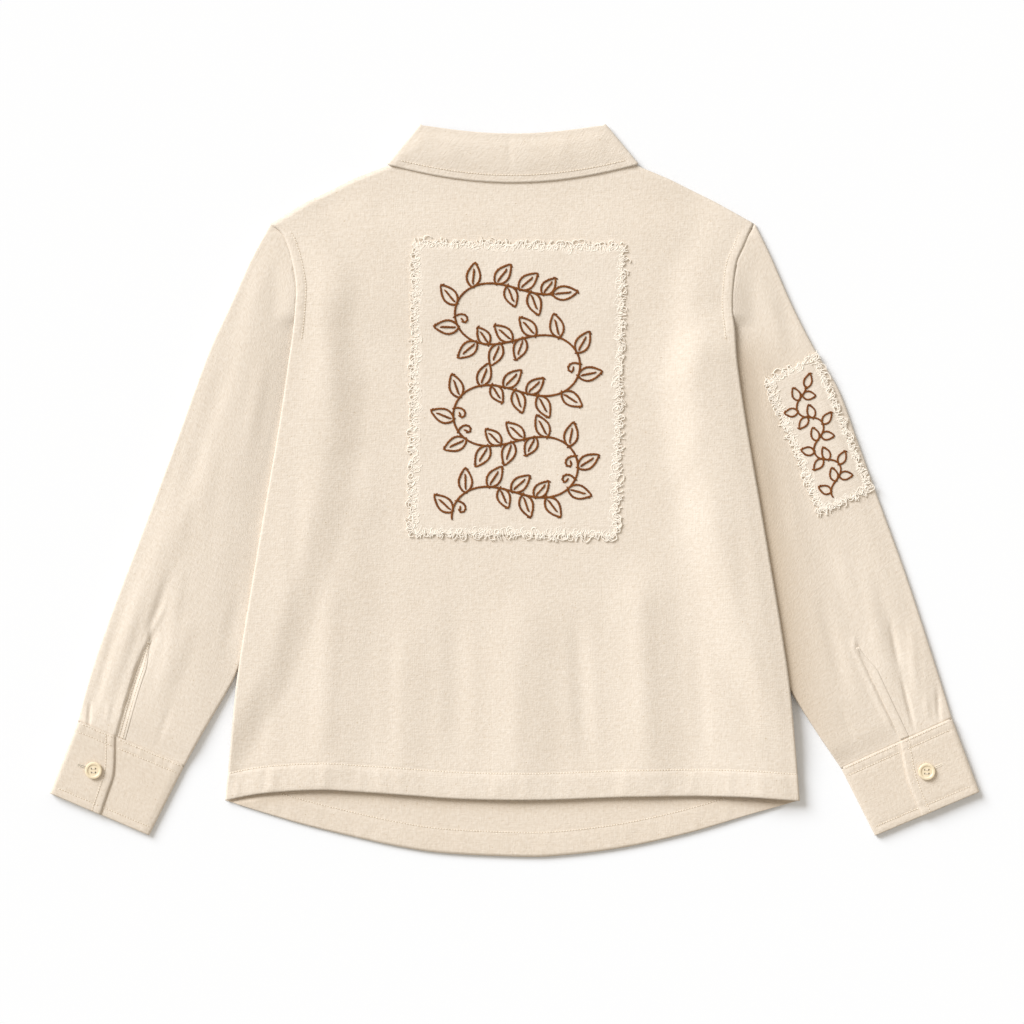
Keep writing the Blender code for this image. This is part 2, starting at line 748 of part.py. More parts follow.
def collar_point(station, line_low, reach, radius):
    """Give a point of the collar: its plan from two lines, its height from its layer."""
    part, side, share = station
    fold = collar_line(station, FOLD_CORNER, FOLD_DIP, FOLD_FRONT)
    low = collar_line(station, *line_low)
    length = math.dist(fold, low)
    x, y = mix(fold, low, reach(length) / length)
    corner_run = (LEAF_CORNER[0] - FOLD_CORNER[0], LEAF_CORNER[1] - FOLD_CORNER[1])
    span = math.hypot(*corner_run)
    inward = (-corner_run[1] / span, corner_run[0] / span)
    closeness = {"side": 1.0, "front": (1.0 - share) ** FRONT_CLOSENESS,
                 "back": max(share, 1.0 - share) ** BACK_CLOSENESS}[part]
    from_left = side == "left" or (part == "back" and share < 0.5)
    toward = inward[0] if from_left else -inward[0]
    shift = LEAF_RADIUS * closeness
    height = COLLAR_MID
    if part == "side":
        angle = math.pi * (share - 0.5)
        shift -= radius * math.cos(angle)
        height += radius * math.sin(angle)
    else:
        height += radius if part == "back" else -radius
    return (x + toward * shift, y + inward[1] * shift, height)


def build_collar():
    """Fold the collar over its stand, and run both round to the hidden front."""
    leaf = (LEAF_CORNER, LEAF_DROP, LEAF_FRONT)
    stand = (NECK_CORNER, NECK_DROP, NECK_FRONT)
    turn_radius = 0.5 * (LEAF_RADIUS + LIP_RADIUS)
    fall_rows = table("start rest radius", [
        (LIP, 0.0, LIP_RADIUS),
        (FOLD_TURN, 0.0, LIP_RADIUS),
        (0.0, 0.0, turn_radius),
        (FOLD_TURN, 0.0, LEAF_RADIUS),
        (0.0, 0.35, LEAF_RADIUS),
        (0.0, 0.68, LEAF_RADIUS),
        (0.0, 1.0, LEAF_RADIUS),
    ])
    stations = collar_stations()
    rows = []
    for fall in fall_rows:
        def fall_reach(length, fall=fall):
            return fall.start + fall.rest * length
        row = []
        for station in stations:
            x, y, z = collar_point(station, leaf, fall_reach, fall.radius)
            if station[0] == "back":
                z += LEAF_RISE * fall.rest ** 2
            row.append((x, y, z))
        rows.append(row)
    wall(mesh_object("collar_fall", grid_mesh(rows), CANVAS), CLOTH)
    stand_rows = []
    for share in (0.0, 0.5, 1.0):
        def reach(length, share=share):
            return mix(STAND_START, length, share)
        stand_rows.append([collar_point(station, stand, reach, STAND_RADIUS) for station in stations])
    wall(mesh_object("collar_stand", grid_mesh(stand_rows), CANVAS), CLOTH)


def carrier_top(name, x, y):
    """Give the height of what a patch is sewn to."""
    return back_top(x, y) if name == "back" else sleeve_top("right", x, y)


def patch_corner(patch, inset, across, down):
    """Give a corner of the patch, moved in from the frayed outside by the inset."""
    top = mix(patch.top_left, patch.top_right, 0.5)
    low = mix(patch.low_left, patch.low_right, 0.5)
    height = math.dist(top, low)
    width = math.dist(patch.top_left, patch.top_right)
    across = mix(inset / width, 1.0 - inset / width, across)
    down = mix(inset / height, 1.0 - inset / height, down)
    return mix(mix(patch.top_left, patch.top_right, across),
               mix(patch.low_left, patch.low_right, across), down)


def steps_for(length):
    """Divide a laid piece into steps of about the same length."""
    return max(2, math.ceil(length / LAID_STEP))


def build_patch(patch):
    """Lay the patch's cloth on its carrier's own form, a little way out."""
    inset = FRAY_LENGTH + FRAY_STRIP + LAYER_GAP
    wide = steps_for(math.dist(patch.top_left, patch.top_right))
    tall = steps_for(math.dist(patch.top_left, patch.low_left))
    rows = []
    for row in range(tall + 1):
        points = [patch_corner(patch, inset, column / wide, row / tall) for column in range(wide + 1)]
        rows.append([(x, y, carrier_top(patch.name, x, y) + LAY_GAP + CLOTH) for x, y in points])
    wall(mesh_object(patch.name + "_patch", grid_mesh(rows), PATCH_CANVAS), CLOTH)


def build_fringe(patch, side):
    """Fray one side of a patch: a narrow strip with tapered locks along its outer edge."""
    strip_in = FRAY_LENGTH + FRAY_STRIP
    strip_out = FRAY_LENGTH
    upright = side in ("left", "right")
    far = 1.0 if side in ("right", "low") else 0.0
    height = math.dist(patch.top_left, patch.low_left)
    width = math.dist(patch.top_left, patch.top_right)
    run = (height if upright else width) - 2.0 * FRAY_LENGTH
    trim = (FRAY_STRIP + LAYER_GAP) / run if upright else 0.0

    def place(along, inset):
        """Give a point by its share along the side and its inset from the outside."""
        along = mix(trim, 1.0 - trim, along)
        outer_share = FRAY_LENGTH / (height if upright else width)
        along = mix(outer_share, 1.0 - outer_share, along)
        depth = inset / (width if upright else height)
        depth = 1.0 - depth if far else depth
        across, down = (depth, along) if upright else (along, depth)
        x, y = mix(mix(patch.top_left, patch.top_right, across),
                   mix(patch.low_left, patch.low_right, across), down)
        return Vector((x, y, carrier_top(patch.name, x, y) + LAY_GAP + FRAY_WALL)) * MM

    locks = round(run / LOCK_PITCH)
    bm = bmesh.new()
    shares = [0.0]
    for lock in range(locks):
        middle = (lock + 0.5) / locks
        shares += [middle - 0.5 * LOCK_SHARE / locks, middle + 0.5 * LOCK_SHARE / locks]
    shares.append(1.0)
    inner = [bm.verts.new(place(share, strip_in)) for share in shares]
    outer = [bm.verts.new(place(share, strip_out)) for share in shares]
    for cell in range(len(shares) - 1):
        bm.faces.new([inner[cell], outer[cell], outer[cell + 1], inner[cell + 1]])
        if cell % 2:
            middle = 0.5 * (shares[cell] + shares[cell + 1])
            half_tip = 0.5 * LOCK_TIP_SHARE * (shares[cell + 1] - shares[cell])
            lean = LOCK_LEAN * half_tip * ((cell * 7) % 5 - 2)
            tips = []
            for share in (middle - half_tip + lean, middle + half_tip + lean):
                tips.append(bm.verts.new(place(share, 0.0)))
            bm.faces.new([outer[cell], tips[0], tips[1], outer[cell + 1]])
    bm.normal_update()
    bm.faces.ensure_lookup_table()
    if bm.faces[0].normal.z < 0.0:
        bmesh.ops.reverse_faces(bm, faces=bm.faces)
    wall(mesh_object(patch.name + "_fringe_" + side, bm, FRAY), FRAY_WALL)


def build_placket(placket):
    """Lay the placket's strip beside the slit, on the sleeve's own form."""
    line = path_along(table("x y", [
        (placket.x_high, placket.y_high),
        (placket.x_bend, placket.y_bend),
        (placket.x_low, placket.y_low),
    ]))
    rows = []
    for row in range(PLACKET_STEPS + 1):
        x, y = line(row / PLACKET_STEPS)
        points = []
        for across in (0.0, 0.5, 1.0):
            px = x + placket.x_beside * PLACKET_WIDTH * across
            py = y + placket.y_beside * PLACKET_WIDTH * across
            points.append((px, py, sleeve_top(placket.name, px, py) + PLACKET_GAP + PLACKET_WALL))
        rows.append(points)
    wall(mesh_object("placket_" + placket.name, grid_mesh(rows), CANVAS), PLACKET_WALL)


def build_button(side):
    """Turn a button with a raised rim and pierce its four holes."""
    rim_in = BUTTON_RADIUS - BUTTON_RIM
    profile = [
        (0.0, BUTTON_THICK - BUTTON_DISH),
        (rim_in - BUTTON_RIM_SLOPE, BUTTON_THICK - BUTTON_DISH),
        (rim_in, BUTTON_THICK),
        (BUTTON_RADIUS - BUTTON_ROUND, BUTTON_THICK),
        (BUTTON_RADIUS, BUTTON_THICK - BUTTON_ROUND),
        (BUTTON_RADIUS, BUTTON_ROUND),
        (BUTTON_RADIUS - BUTTON_ROUND, 0.0),
        (0.0, 0.0),
    ]
    bm = bmesh.new()
    verts = [bm.verts.new(Vector((radius, 0.0, height)) * MM) for radius, height in profile]
    for start, end in zip(verts, verts[1:]):
        bm.edges.new((start, end))
    button = mesh_object("button_" + side, bm, HORN)
    x, y = BUTTON_PLACES[side]
    base = CUFF_FLAP_TOP + LAYER_GAP
    button.location = Vector((x, y, base)) * MM
    turned = button.modifiers.new("turned", "SCREW")
    turned.steps = BUTTON_SEGMENTS
    turned.render_steps = BUTTON_SEGMENTS
    turned.use_merge_vertices = True
    turned.merge_threshold = 0.00001
    cutter = bmesh.new()
    for across in (-1.0, 1.0):
        for along in (-1.0, 1.0):
            made = bmesh.ops.create_cone(
                cutter, cap_ends=True, segments=HOLE_SEGMENTS, radius1=BUTTON_HOLE_RADIUS * MM,
                radius2=BUTTON_HOLE_RADIUS * MM, depth=4.0 * BUTTON_THICK * MM)
            spot = Vector((x + across * BUTTON_HOLE_OFFSET, y + along * BUTTON_HOLE_OFFSET, base))
            bmesh.ops.translate(cutter, vec=spot * MM, verts=made["verts"])
    cut_with(button, mesh_object("button_hole_cutter_" + side, cutter, None, "cutters"))


def build_shirt():
    """Build every piece of the shirt."""
    start_scene()
    build_front_panel()
    build_back_panel()
    build_collar()
    for side in ("left", "right"):
        build_sleeve(side)
        build_button(side)
    for cuff in CUFFS:
        build_cuff(cuff)
    for placket in PLACKETS:
        build_placket(placket)
    for patch in PATCHES:
        build_patch(patch)
        for side in ("top", "right", "low", "left"):
            build_fringe(patch, side)


build_shirt()
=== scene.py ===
# %% [markdown]
# # A canvas overshirt with two frayed patches, laid flat
#
# The real shirt is cut from undyed cotton canvas: a back, a front, two sleeves,
# two cuffs and a folded collar. Two raw-edged pieces of the same canvas are
# embroidered in brown thread and sewn on, one on the back and one on a sleeve.
# It lies back up on a pale table, seen from straight above.
#
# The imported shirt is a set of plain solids. Each one is dressed here with a
# fine shell of cloth on the same form, then hemmed, stitched, frayed, sewn over
# with thread, and lit. The tables are in millimetres, and each point is turned
# to metres once, when its mesh is made.

# %% Load the frame that the cloth has to fit
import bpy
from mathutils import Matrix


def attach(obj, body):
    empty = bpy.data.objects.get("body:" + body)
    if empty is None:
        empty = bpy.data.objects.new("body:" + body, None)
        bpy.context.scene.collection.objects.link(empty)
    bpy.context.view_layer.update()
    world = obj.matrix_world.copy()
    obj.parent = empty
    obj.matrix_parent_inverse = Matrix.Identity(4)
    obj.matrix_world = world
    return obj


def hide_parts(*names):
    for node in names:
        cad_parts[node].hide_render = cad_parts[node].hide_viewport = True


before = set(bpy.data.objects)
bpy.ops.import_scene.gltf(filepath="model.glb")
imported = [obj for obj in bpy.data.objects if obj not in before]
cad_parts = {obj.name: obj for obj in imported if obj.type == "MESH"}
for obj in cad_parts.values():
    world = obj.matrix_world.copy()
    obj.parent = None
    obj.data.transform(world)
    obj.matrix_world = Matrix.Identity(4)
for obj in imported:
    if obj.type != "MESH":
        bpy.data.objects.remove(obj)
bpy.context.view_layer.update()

# %% Bring in the tools
import math
import random
from collections import namedtuple

import bmesh
import bpy
from mathutils import Vector, noise

print("working in Blender", bpy.app.version_string)

# %% [markdown]
# ## Sizes
#
# A garment is described by a few named sizes and by short tables along its
# edges. Between two rows of a table the edge is read along a smooth line, so
# the tables stay short and the cloth can be divided as finely as the creases
# need.

# %% How thick the cloth is and how high its layers lie
MM = 0.001
CLOTH = 1.2
LAYER_GAP = 0.4
LAY_GAP = 0.6
PITCH = CLOTH + LAYER_GAP
BODY_CENTRE = -1.8
SLEEVE_HIGH = 4.2
BODY_LIFT = SLEEVE_HIGH + LAYER_GAP
LIFT_RAMP = 42.0
LIFT_SHELF = 20.0
SHOULDER_LIFT_SHARE = 0.3
SHOULDER_LIFT_RUN = 80.0
NECK_LIFT_END = 130.0
NECK_LIFT_RAMP = 70.0
NECK_LIFT_HALF_WIDTH = 205.0
AIR_LEAST = 0.2
AIR_COMMON = 0.5
AIR_TOP = 290.0
AIR_TOP_RAMP = 70.0
AIR_SIDE_RAMP = 50.0
FOLD_FADE = 60.0
FADE_SHARE = 0.45
COLLAR_MID = 3.1
LEAF_RADIUS = 3.1
STAND_RADIUS = 1.5
LIP_RADIUS = STAND_RADIUS - CLOTH
SHELL = 1.0
SIDES = ("left", "right")
SIGN = {"left": -1.0, "right": 1.0}


def table(columns, rows):
    """Make a table whose rows are read by the names of their columns."""
    row_type = namedtuple("Row", columns)
    return [row_type(*row) for row in rows]


def by_name(rows):
    """Let the rows of a table be found by their name."""
    return {row.name: row for row in rows}


print("one layer of cloth takes", PITCH, "mm, and a flat sleeve", SLEEVE_HIGH, "mm")

# %% The body's shoulders, sides, necklines and hems
SHOULDER_COLUMNS = 6
NECK_COLUMNS = 10
BODY_COLUMNS = 2 * SHOULDER_COLUMNS + NECK_COLUMNS
COLUMN_CROWDING = 0.3
SHOULDERS = table("column left_x right_x y", [
    (0, -243.5, 239.5, 267.0),
    (2, -208.0, 201.0, 288.5),
    (4, -161.0, 154.6, 311.6),
    (5, -125.2, 121.6, 325.3),
    (6, -116.2, 112.6, 335.0),
])
BACK_NECK_DIP = 17.0
FRONT_NECK_PULL = (-92.5, 260.5)
FRONT_NECK_LOW = (-1.8, 236.8)
BODY_SIDES = table("y left right", [
    (267.0, -243.5, 239.5),
    (257.0, -232.5, 234.5),
    (245.0, -227.0, 229.5),
    (229.0, -222.5, 222.5),
    (205.0, -218.5, 218.8),
    (180.0, -219.5, 218.0),
    (160.0, -221.5, 220.2),
    (130.0, -225.8, 222.2),
    (68.5, -234.8, 231.2),
    (-21.5, -250.3, 246.7),
    (-74.5, -259.3, 255.7),
    (-149.5, -271.8, 268.2),
    (-199.5, -278.8, 275.2),
    (-263.5, -284.8, 281.2),
    (-310.2, -289.5, 285.0),
])
BACK_HEM = table("x y", [
    (-289.5, -310.2),
    (-258.5, -303.9),
    (-223.5, -300.5),
    (-188.5, -299.4),
    (-160.5, -301.1),
    (-118.5, -303.9),
    (-53.5, -308.5),
    (23.5, -309.5),
    (125.5, -306.2),
    (225.5, -306.3),
    (285.0, -310.2),
])
FRONT_HEM = table("x y", [
    (-289.5, -310.2),
    (-216.5, -332.5),
    (-160.5, -346.5),
    (-114.5, -356.5),
    (-74.5, -362.5),
    (-2.5, -366.3),
    (38.5, -365.9),
    (105.5, -357.9),
    (172.5, -343.2),
    (239.5, -323.1),
    (285.0, -310.2),
])
print("the hem is", BODY_SIDES[-1].right - BODY_SIDES[-1].left, "mm wide")

# %% The sleeves' outer folds, inner folds and tucked ends
LEFT_OUTER = table("x y", [
    (-244.6, 267.2),
    (-262.5, 234.5),
    (-284.5, 186.5),
    (-306.5, 138.5),
    (-341.5, 42.5),
    (-377.5, -53.5),
    (-413.5, -149.5),
    (-428.5, -197.5),
    (-437.0, -230.9),
])
RIGHT_OUTER = table("x y", [
    (240.6, 267.2),
    (256.5, 234.5),
    (277.5, 186.5),
    (300.5, 141.5),
    (324.0, 101.9),
    (341.0, 56.5),
    (361.0, 0.5),
    (389.5, -77.5),
    (405.5, -125.5),
    (428.5, -197.5),
    (437.9, -228.4),
])
LEFT_INNER = table("x y", [
    (-205.0, 112.0),
    (-213.0, 40.0),
    (-238.0, -70.0),
    (-262.0, -140.0),
    (-279.0, -185.0),
    (-289.2, -204.5),
    (-312.1, -243.5),
    (-330.5, -275.9),
])
RIGHT_INNER = table("x y", [
    (201.4, 112.0),
    (209.0, 40.0),
    (234.0, -70.0),
    (252.0, -140.0),
    (266.0, -182.0),
    (275.1, -199.5),
    (301.2, -240.5),
    (327.1, -278.5),
])
ARMHOLE_LOW = 162.0
ARMHOLE_TUCK = 2.0
INNER_FLARE = 0.6
LEFT_TUCK = table("x y", [(-221.5, 147.0), (-214.5, 128.0)])
RIGHT_TUCK = table("x y", [(219.5, 147.0), (211.5, 128.0)])
OUTER = {"left": LEFT_OUTER, "right": RIGHT_OUTER}
INNER = {"left": LEFT_INNER, "right": RIGHT_INNER}
TUCK = {"left": LEFT_TUCK, "right": RIGHT_TUCK}
for side in SIDES:
    fold_length = math.dist(OUTER[side][0], OUTER[side][-1])
    print("the", side, "outer fold is", round(fold_length), "mm long")

# %% The cuffs, and the share of the width that the buttoned end covers
CUFF_WALL = 1.6
CUFF_LOW_TOP = 4.2
CUFF_FLAP_TOP = CUFF_LOW_TOP + CUFF_WALL + LAYER_GAP
CUFF_OVERLAP = 0.15
CUFFS = by_name(table("name inner_low outer_low", [
    ("left", (-365.5, -344.9), (-465.2, -302.5)),
    ("right", (360.8, -345.3), (465.2, -301.2)),
]))
LEFT_FLAP = table("down share", [
    (0.0, 0.350), (0.17, 0.402), (0.46, 0.476), (0.71, 0.494), (1.0, 0.515),
])
RIGHT_FLAP = table("down share", [(0.0, 0.470), (0.23, 0.509), (0.53, 0.547), (1.0, 0.556)])
FLAP = {"left": LEFT_FLAP, "right": RIGHT_FLAP}
for cuff in CUFFS.values():
    print(cuff.name, "cuff:", round(math.dist(cuff.inner_low, cuff.outer_low)), "mm wide when flat")

# %% The broad folds that the solids already have
FOLD_COLUMNS = "x_high y_high x_low y_low half_width height"
BACK_FOLDS = table(FOLD_COLUMNS, [
    (-168.0, 40.0, -192.0, -330.0, 52.0, 2.1),
    (-112.0, -120.0, -118.0, -330.0, 34.0, 1.2),
    (6.0, -90.0, 4.0, -330.0, 44.0, 2.2),
    (124.0, -60.0, 136.0, -330.0, 42.0, 2.4),
    (188.0, 20.0, 212.0, -330.0, 40.0, 1.5),
    (-182.0, 236.0, -196.0, 60.0, 30.0, 1.3),
    (170.0, 236.0, 184.0, 60.0, 30.0, 1.2),
])
LEFT_SLEEVE_FOLDS = table(FOLD_COLUMNS, [
    (-281.0, 150.0, -340.0, -30.0, 24.0, -0.7),
    (-312.0, 30.0, -392.0, -170.0, 20.0, 0.8),
    (-343.0, -90.0, -393.0, -226.0, 13.0, -0.9),
    (-318.0, -110.0, -366.0, -232.0, 18.0, 1.1),
    (-398.0, -110.0, -416.0, -222.0, 14.0, 0.8),
])
RIGHT_SLEEVE_FOLDS = table(FOLD_COLUMNS, [
    (262.0, 60.0, 322.0, -110.0, 22.0, -0.6),
    (338.0, -60.0, 386.0, -226.0, 18.0, 1.0),
    (372.0, -120.0, 399.0, -226.0, 12.0, -0.8),
    (318.0, -120.0, 352.0, -236.0, 16.0, 0.9),
    (400.0, -120.0, 420.0, -222.0, 13.0, 0.8),
])
SLEEVE_FOLDS = {"left": LEFT_SLEEVE_FOLDS, "right": RIGHT_SLEEVE_FOLDS}
print(len(BACK_FOLDS), "broad folds on the back,", len(LEFT_SLEEVE_FOLDS), "on each sleeve")

# %% The collar, the patches, the plackets and the buttons
FOLD_CORNER = (-94.5, 367.2)
LEAF_CORNER = (-127.5, 327.2)
FOLD_DIP = 10.0
LEAF_DROP = 19.4
NECK_CORNER = (-117.5, 337.2)
NECK_DROP = 18.2
FOLD_FRONT = ((-62.0, 312.0), (-3.2, 272.0))
LEAF_FRONT = ((-104.0, 262.0), (-58.0, 212.0))
NECK_FRONT = ((-92.0, 262.0), (-3.2, 238.0))
LEAF_RISE = 0.8
FRONT_CLOSENESS = 6
BACK_CLOSENESS = 12
LIP = 3.6
FOLD_TURN = 1.6
STAND_START = 5.4
PATCHES = by_name(table("name top_left top_right low_right low_left", [
    ("back", (-103.5, 252.5), (113.5, 248.5), (106.5, -50.5), (-107.5, -47.5)),
    ("sleeve", (246.5, 111.5), (301.5, 139.5), (359.5, -1.5), (303.5, -28.0)),
]))
PLACKET_WIDTH = 11.0
PLACKETS = by_name(table("name x_high y_high x_bend y_bend x_low y_low x_beside y_beside", [
    ("left", -366.5, -148.5, -381.5, -184.0, -399.6, -246.0, 0.93, -0.36),
    ("right", 341.0, -157.5, 358.0, -195.0, 384.5, -250.5, 0.92, 0.38),
]))
BUTTON_THICK = 3.0
BUTTON_HOLE_OFFSET = 1.9
BUTTON_PLACES = {"left": (-420.5, -279.8), "right": (411.9, -280.9)}
for patch in PATCHES.values():
    print("the", patch.name, "patch is", round(math.dist(patch.top_left, patch.top_right)), "by",
          round(math.dist(patch.top_left, patch.low_left)), "mm with its fray")

# %% [markdown]
# ## Reading the tables
#
# These short functions turn the tables into smooth lines and heights. A point
# between four edges comes from a Coons patch: what the two long edges say, plus
# what the two short edges say, less what the corners say twice.

# %% Blends, smooth lines and four-sided patches
def ease(share):
    """Rise smoothly from 0 to 1 while the share goes from 0 to 1."""
    share = min(max(share, 0.0), 1.0)
    return share * share * (3.0 - 2.0 * share)


def mix(a, b, share):
    """Go the given share of the way from a to b, for numbers or points."""
    if isinstance(a, (tuple, list)):
        return tuple(mix(p, q, share) for p, q in zip(a, b))
    return a + (b - a) * share


def curve_of_three(start, pull, end, share):
    """Give a point on the smooth curve between two ends, drawn towards a third point."""
    return mix(mix(start, pull, share), mix(pull, end, share), share)


def mirrored(point):
    """Mirror a point on the body's centre line."""
    return (2.0 * BODY_CENTRE - point[0], point[1])


def read_between(keys, values, at):
    """Read a value between table rows along a smooth line that passes through each."""
    if keys[0] > keys[-1]:
        keys = keys[::-1]
        values = values[::-1]
    at = min(max(at, keys[0]), keys[-1])
    slot = 0
    while slot < len(keys) - 2 and at > keys[slot + 1]:
        slot += 1
    slopes = []
    for end in (slot, slot + 1):
        before = max(end - 1, 0)
        after = min(end + 1, len(keys) - 1)
        slopes.append((values[after] - values[before]) / (keys[after] - keys[before]))
    span = keys[slot + 1] - keys[slot]
    t = (at - keys[slot]) / span
    rise = values[slot + 1] - values[slot]
    bend = t * (1.0 - t) * ((1.0 - t) * (slopes[0] * span - rise) - t * (slopes[1] * span - rise))
    return values[slot] + rise * t + bend


def column_of(rows, name):
    """List one named column of a table."""
    return [getattr(row, name) for row in rows]


def read_table(rows, key, value, at):
    """Read one column of a table at a place along another column."""
    return read_between(column_of(rows, key), column_of(rows, value), at)


def even_shares(count):
    """Divide the way from 0 to 1 into even steps."""
    return [step / count for step in range(count + 1)]


def unit(start, end):
    """Give the step of length one that leads from one plan point towards another."""
    length = math.dist(start, end)
    return ((end[0] - start[0]) / length, (end[1] - start[1]) / length)


def path_along(rows):
    """Make a function that gives the point at a share of the way along a table's rows."""
    points = [(row.x, row.y) for row in rows]
    lengths = [0.0]
    for start, end in zip(points, points[1:]):
        lengths.append(lengths[-1] + math.dist(start, end))
    shares = [length / lengths[-1] for length in lengths]
    xs = [point[0] for point in points]
    ys = [point[1] for point in points]
    return lambda share: (read_between(shares, xs, share), read_between(shares, ys, share))


def side_x(name, y):
    """Give the body's left or right edge at a height on the shirt."""
    return read_table(BODY_SIDES, "y", name, y)


def coons(top, bottom, left, right, across, down):
    """Fill a patch between four edge curves, each read by its own share."""
    corner = mix(mix(top(0.0), top(1.0), across), mix(bottom(0.0), bottom(1.0), across), down)
    rails = mix(top(across), bottom(across), down)
    sides = mix(left(down), right(down), across)
    return tuple(rails[axis] + sides[axis] - corner[axis] for axis in range(2))


middle_width = side_x("right", 0.0) - side_x("left", 0.0)
print("the body is", round(middle_width, 1), "mm wide at its middle")

# %% Folds, and how far the tucked sleeves and the collar lift the body
def fold_height(folds, x, y):
    """Add up the soft ridges and troughs that reach a point."""
    height = 0.0
    for fold in folds:
        run_x = fold.x_low - fold.x_high
        run_y = fold.y_low - fold.y_high
        length = math.hypot(run_x, run_y)
        along = ((x - fold.x_high) * run_x + (y - fold.y_high) * run_y) / length
        off = abs((x - fold.x_high) * run_y - (y - fold.y_high) * run_x) / length
        if off < fold.half_width:
            swell = 0.5 + 0.5 * math.cos(math.pi * off / fold.half_width)
            fade = min(along, length - along) / min(FOLD_FADE, FADE_SHARE * length)
            height += fold.height * swell * ease(fade)
    return height


def inner_line(side, y):
    """Give where the tucked sleeve's inner fold lies at a height on the shirt."""
    rows = INNER[side]
    sign = SIGN[side]
    if y >= ARMHOLE_LOW:
        return side_x(side, y) - ARMHOLE_TUCK * sign
    if y > rows[0].y:
        share = (ARMHOLE_LOW - y) / (ARMHOLE_LOW - rows[0].y)
        return mix(side_x(side, ARMHOLE_LOW) - ARMHOLE_TUCK * sign, rows[0].x, share)
    beyond = min(y - rows[-1].y, 0.0)
    return read_table(rows, "y", "x", y) - sign * INNER_FLARE * beyond


def sleeve_lift(x, y):
    """Give how far a tucked sleeve lifts the body."""
    below_tip = ease((BODY_SIDES[0].y - y) / SHOULDER_LIFT_RUN)
    shoulder_rise = mix(SHOULDER_LIFT_SHARE, 1.0, below_tip)
    left_reach = inner_line("left", y) - x
    right_reach = x - inner_line("right", y)
    reach = max(left_reach, right_reach) + LIFT_SHELF + LIFT_RAMP
    return BODY_LIFT * shoulder_rise * ease(reach / LIFT_RAMP)


def neck_lift(x, y):
    """Give how far the folded collar under the neck lifts the body."""
    along = ease((y - NECK_LIFT_END) / NECK_LIFT_RAMP)
    across = ease((NECK_LIFT_HALF_WIDTH - abs(x - BODY_CENTRE)) / NECK_LIFT_RAMP)
    return PITCH * along * across


def front_under(x, y):
    """Give the height of the front panel's underside."""
    return sleeve_lift(x, y) + neck_lift(x, y)


def air(x, y):
    """Give the room between the front and the back panel."""
    below_neck = ease((AIR_TOP - y) / AIR_TOP_RAMP)
    from_side = min(x - side_x("left", y), side_x("right", y) - x)
    loose = AIR_COMMON + fold_height(BACK_FOLDS, x, y)
    return AIR_LEAST + below_neck * ease(from_side / AIR_SIDE_RAMP) * loose


def back_top(x, y):
    """Give the height of the back panel's upper side."""
    return front_under(x, y) + CLOTH + LAYER_GAP + CLOTH + air(x, y)


def sleeve_top(side, x, y):
    """Give the height of a sleeve's upper side."""
    return SLEEVE_HIGH + fold_height(SLEEVE_FOLDS[side], x, y)


print("the back's solid is", round(back_top(0.0, 0.0), 2), "mm high in its middle")

# %% The body's edges
def shoulder_edge(column):
    """Give the point of the shoulder line at a column, on either side of the neck."""
    right = column > 0.5 * BODY_COLUMNS
    from_tip = BODY_COLUMNS - column if right else column
    columns = column_of(SHOULDERS, "column")
    end = next(slot for slot in range(1, len(columns)) if from_tip <= columns[slot])
    share = (from_tip - columns[end - 1]) / (columns[end] - columns[end - 1])
    x_name = "right_x" if right else "left_x"
    near = (getattr(SHOULDERS[end - 1], x_name), SHOULDERS[end - 1].y)
    return mix(near, (getattr(SHOULDERS[end], x_name), SHOULDERS[end].y), share)


def back_edge(column):
    """Give the top edge of the back panel at a column."""
    across_neck = (column - SHOULDER_COLUMNS) / NECK_COLUMNS
    if not 0.0 < across_neck < 1.0:
        return shoulder_edge(column)
    neck = SHOULDERS[-1]
    bow = 1.0 - (2.0 * across_neck - 1.0) ** 2
    return (mix(neck.left_x, neck.right_x, across_neck), neck.y - BACK_NECK_DIP * bow)


def front_edge(column):
    """Give the top edge of the front panel, with its deeper neckline."""
    across_neck = (column - SHOULDER_COLUMNS) / NECK_COLUMNS
    if not 0.0 < across_neck < 1.0:
        return shoulder_edge(column)
    corner = (SHOULDERS[-1].left_x, SHOULDERS[-1].y)
    from_side = 2.0 * min(across_neck, 1.0 - across_neck)
    point = curve_of_three(corner, FRONT_NECK_PULL, FRONT_NECK_LOW, from_side)
    return point if across_neck <= 0.5 else mirrored(point)


def body_point(edge, column, down):
    """Give a point of the body, down being the share of the way from the shoulders to the hem."""
    even = column / BODY_COLUMNS
    across = even - COLUMN_CROWDING * math.sin(2.0 * math.pi * even) / (2.0 * math.pi)
    top, low = BODY_SIDES[0], BODY_SIDES[-1]
    y = mix(top.y, low.y, down)
    hem_x = mix(BACK_HEM[0].x, BACK_HEM[-1].x, across)
    hem = (hem_x, read_table(BACK_HEM, "x", "y", hem_x))
    tips = mix((top.left, top.y), (top.right, top.y), across)
    ends = mix((BACK_HEM[0].x, BACK_HEM[0].y), (BACK_HEM[-1].x, BACK_HEM[-1].y), across)
    rails = mix(edge(column), hem, down)
    sides = mix((side_x("left", y), y), (side_x("right", y), y), across)
    corner = mix(tips, ends, down)
    return tuple(rails[axis] + sides[axis] - corner[axis] for axis in range(2))


print("the neckline dips to y =", round(back_edge(0.5 * BODY_COLUMNS)[1], 1), "mm at the back")

# %% [markdown]
# ## Cloth as a mesh
#
# Cloth is a sheet, so every piece starts as rows of points that are joined
# into four-sided faces. The sheet also gets a UV map named "cloth" in metres of
# cloth, which lets the weave follow the piece however it lies. Solidify then
# gives the sheet its wall on the inner side. A cloth simulation could drape it
# too, but here each crease has a known place, so the rows carry the creases.

# %% Join rows of points into a shell of cloth
MERGE_WITHIN = 0.01 * MM


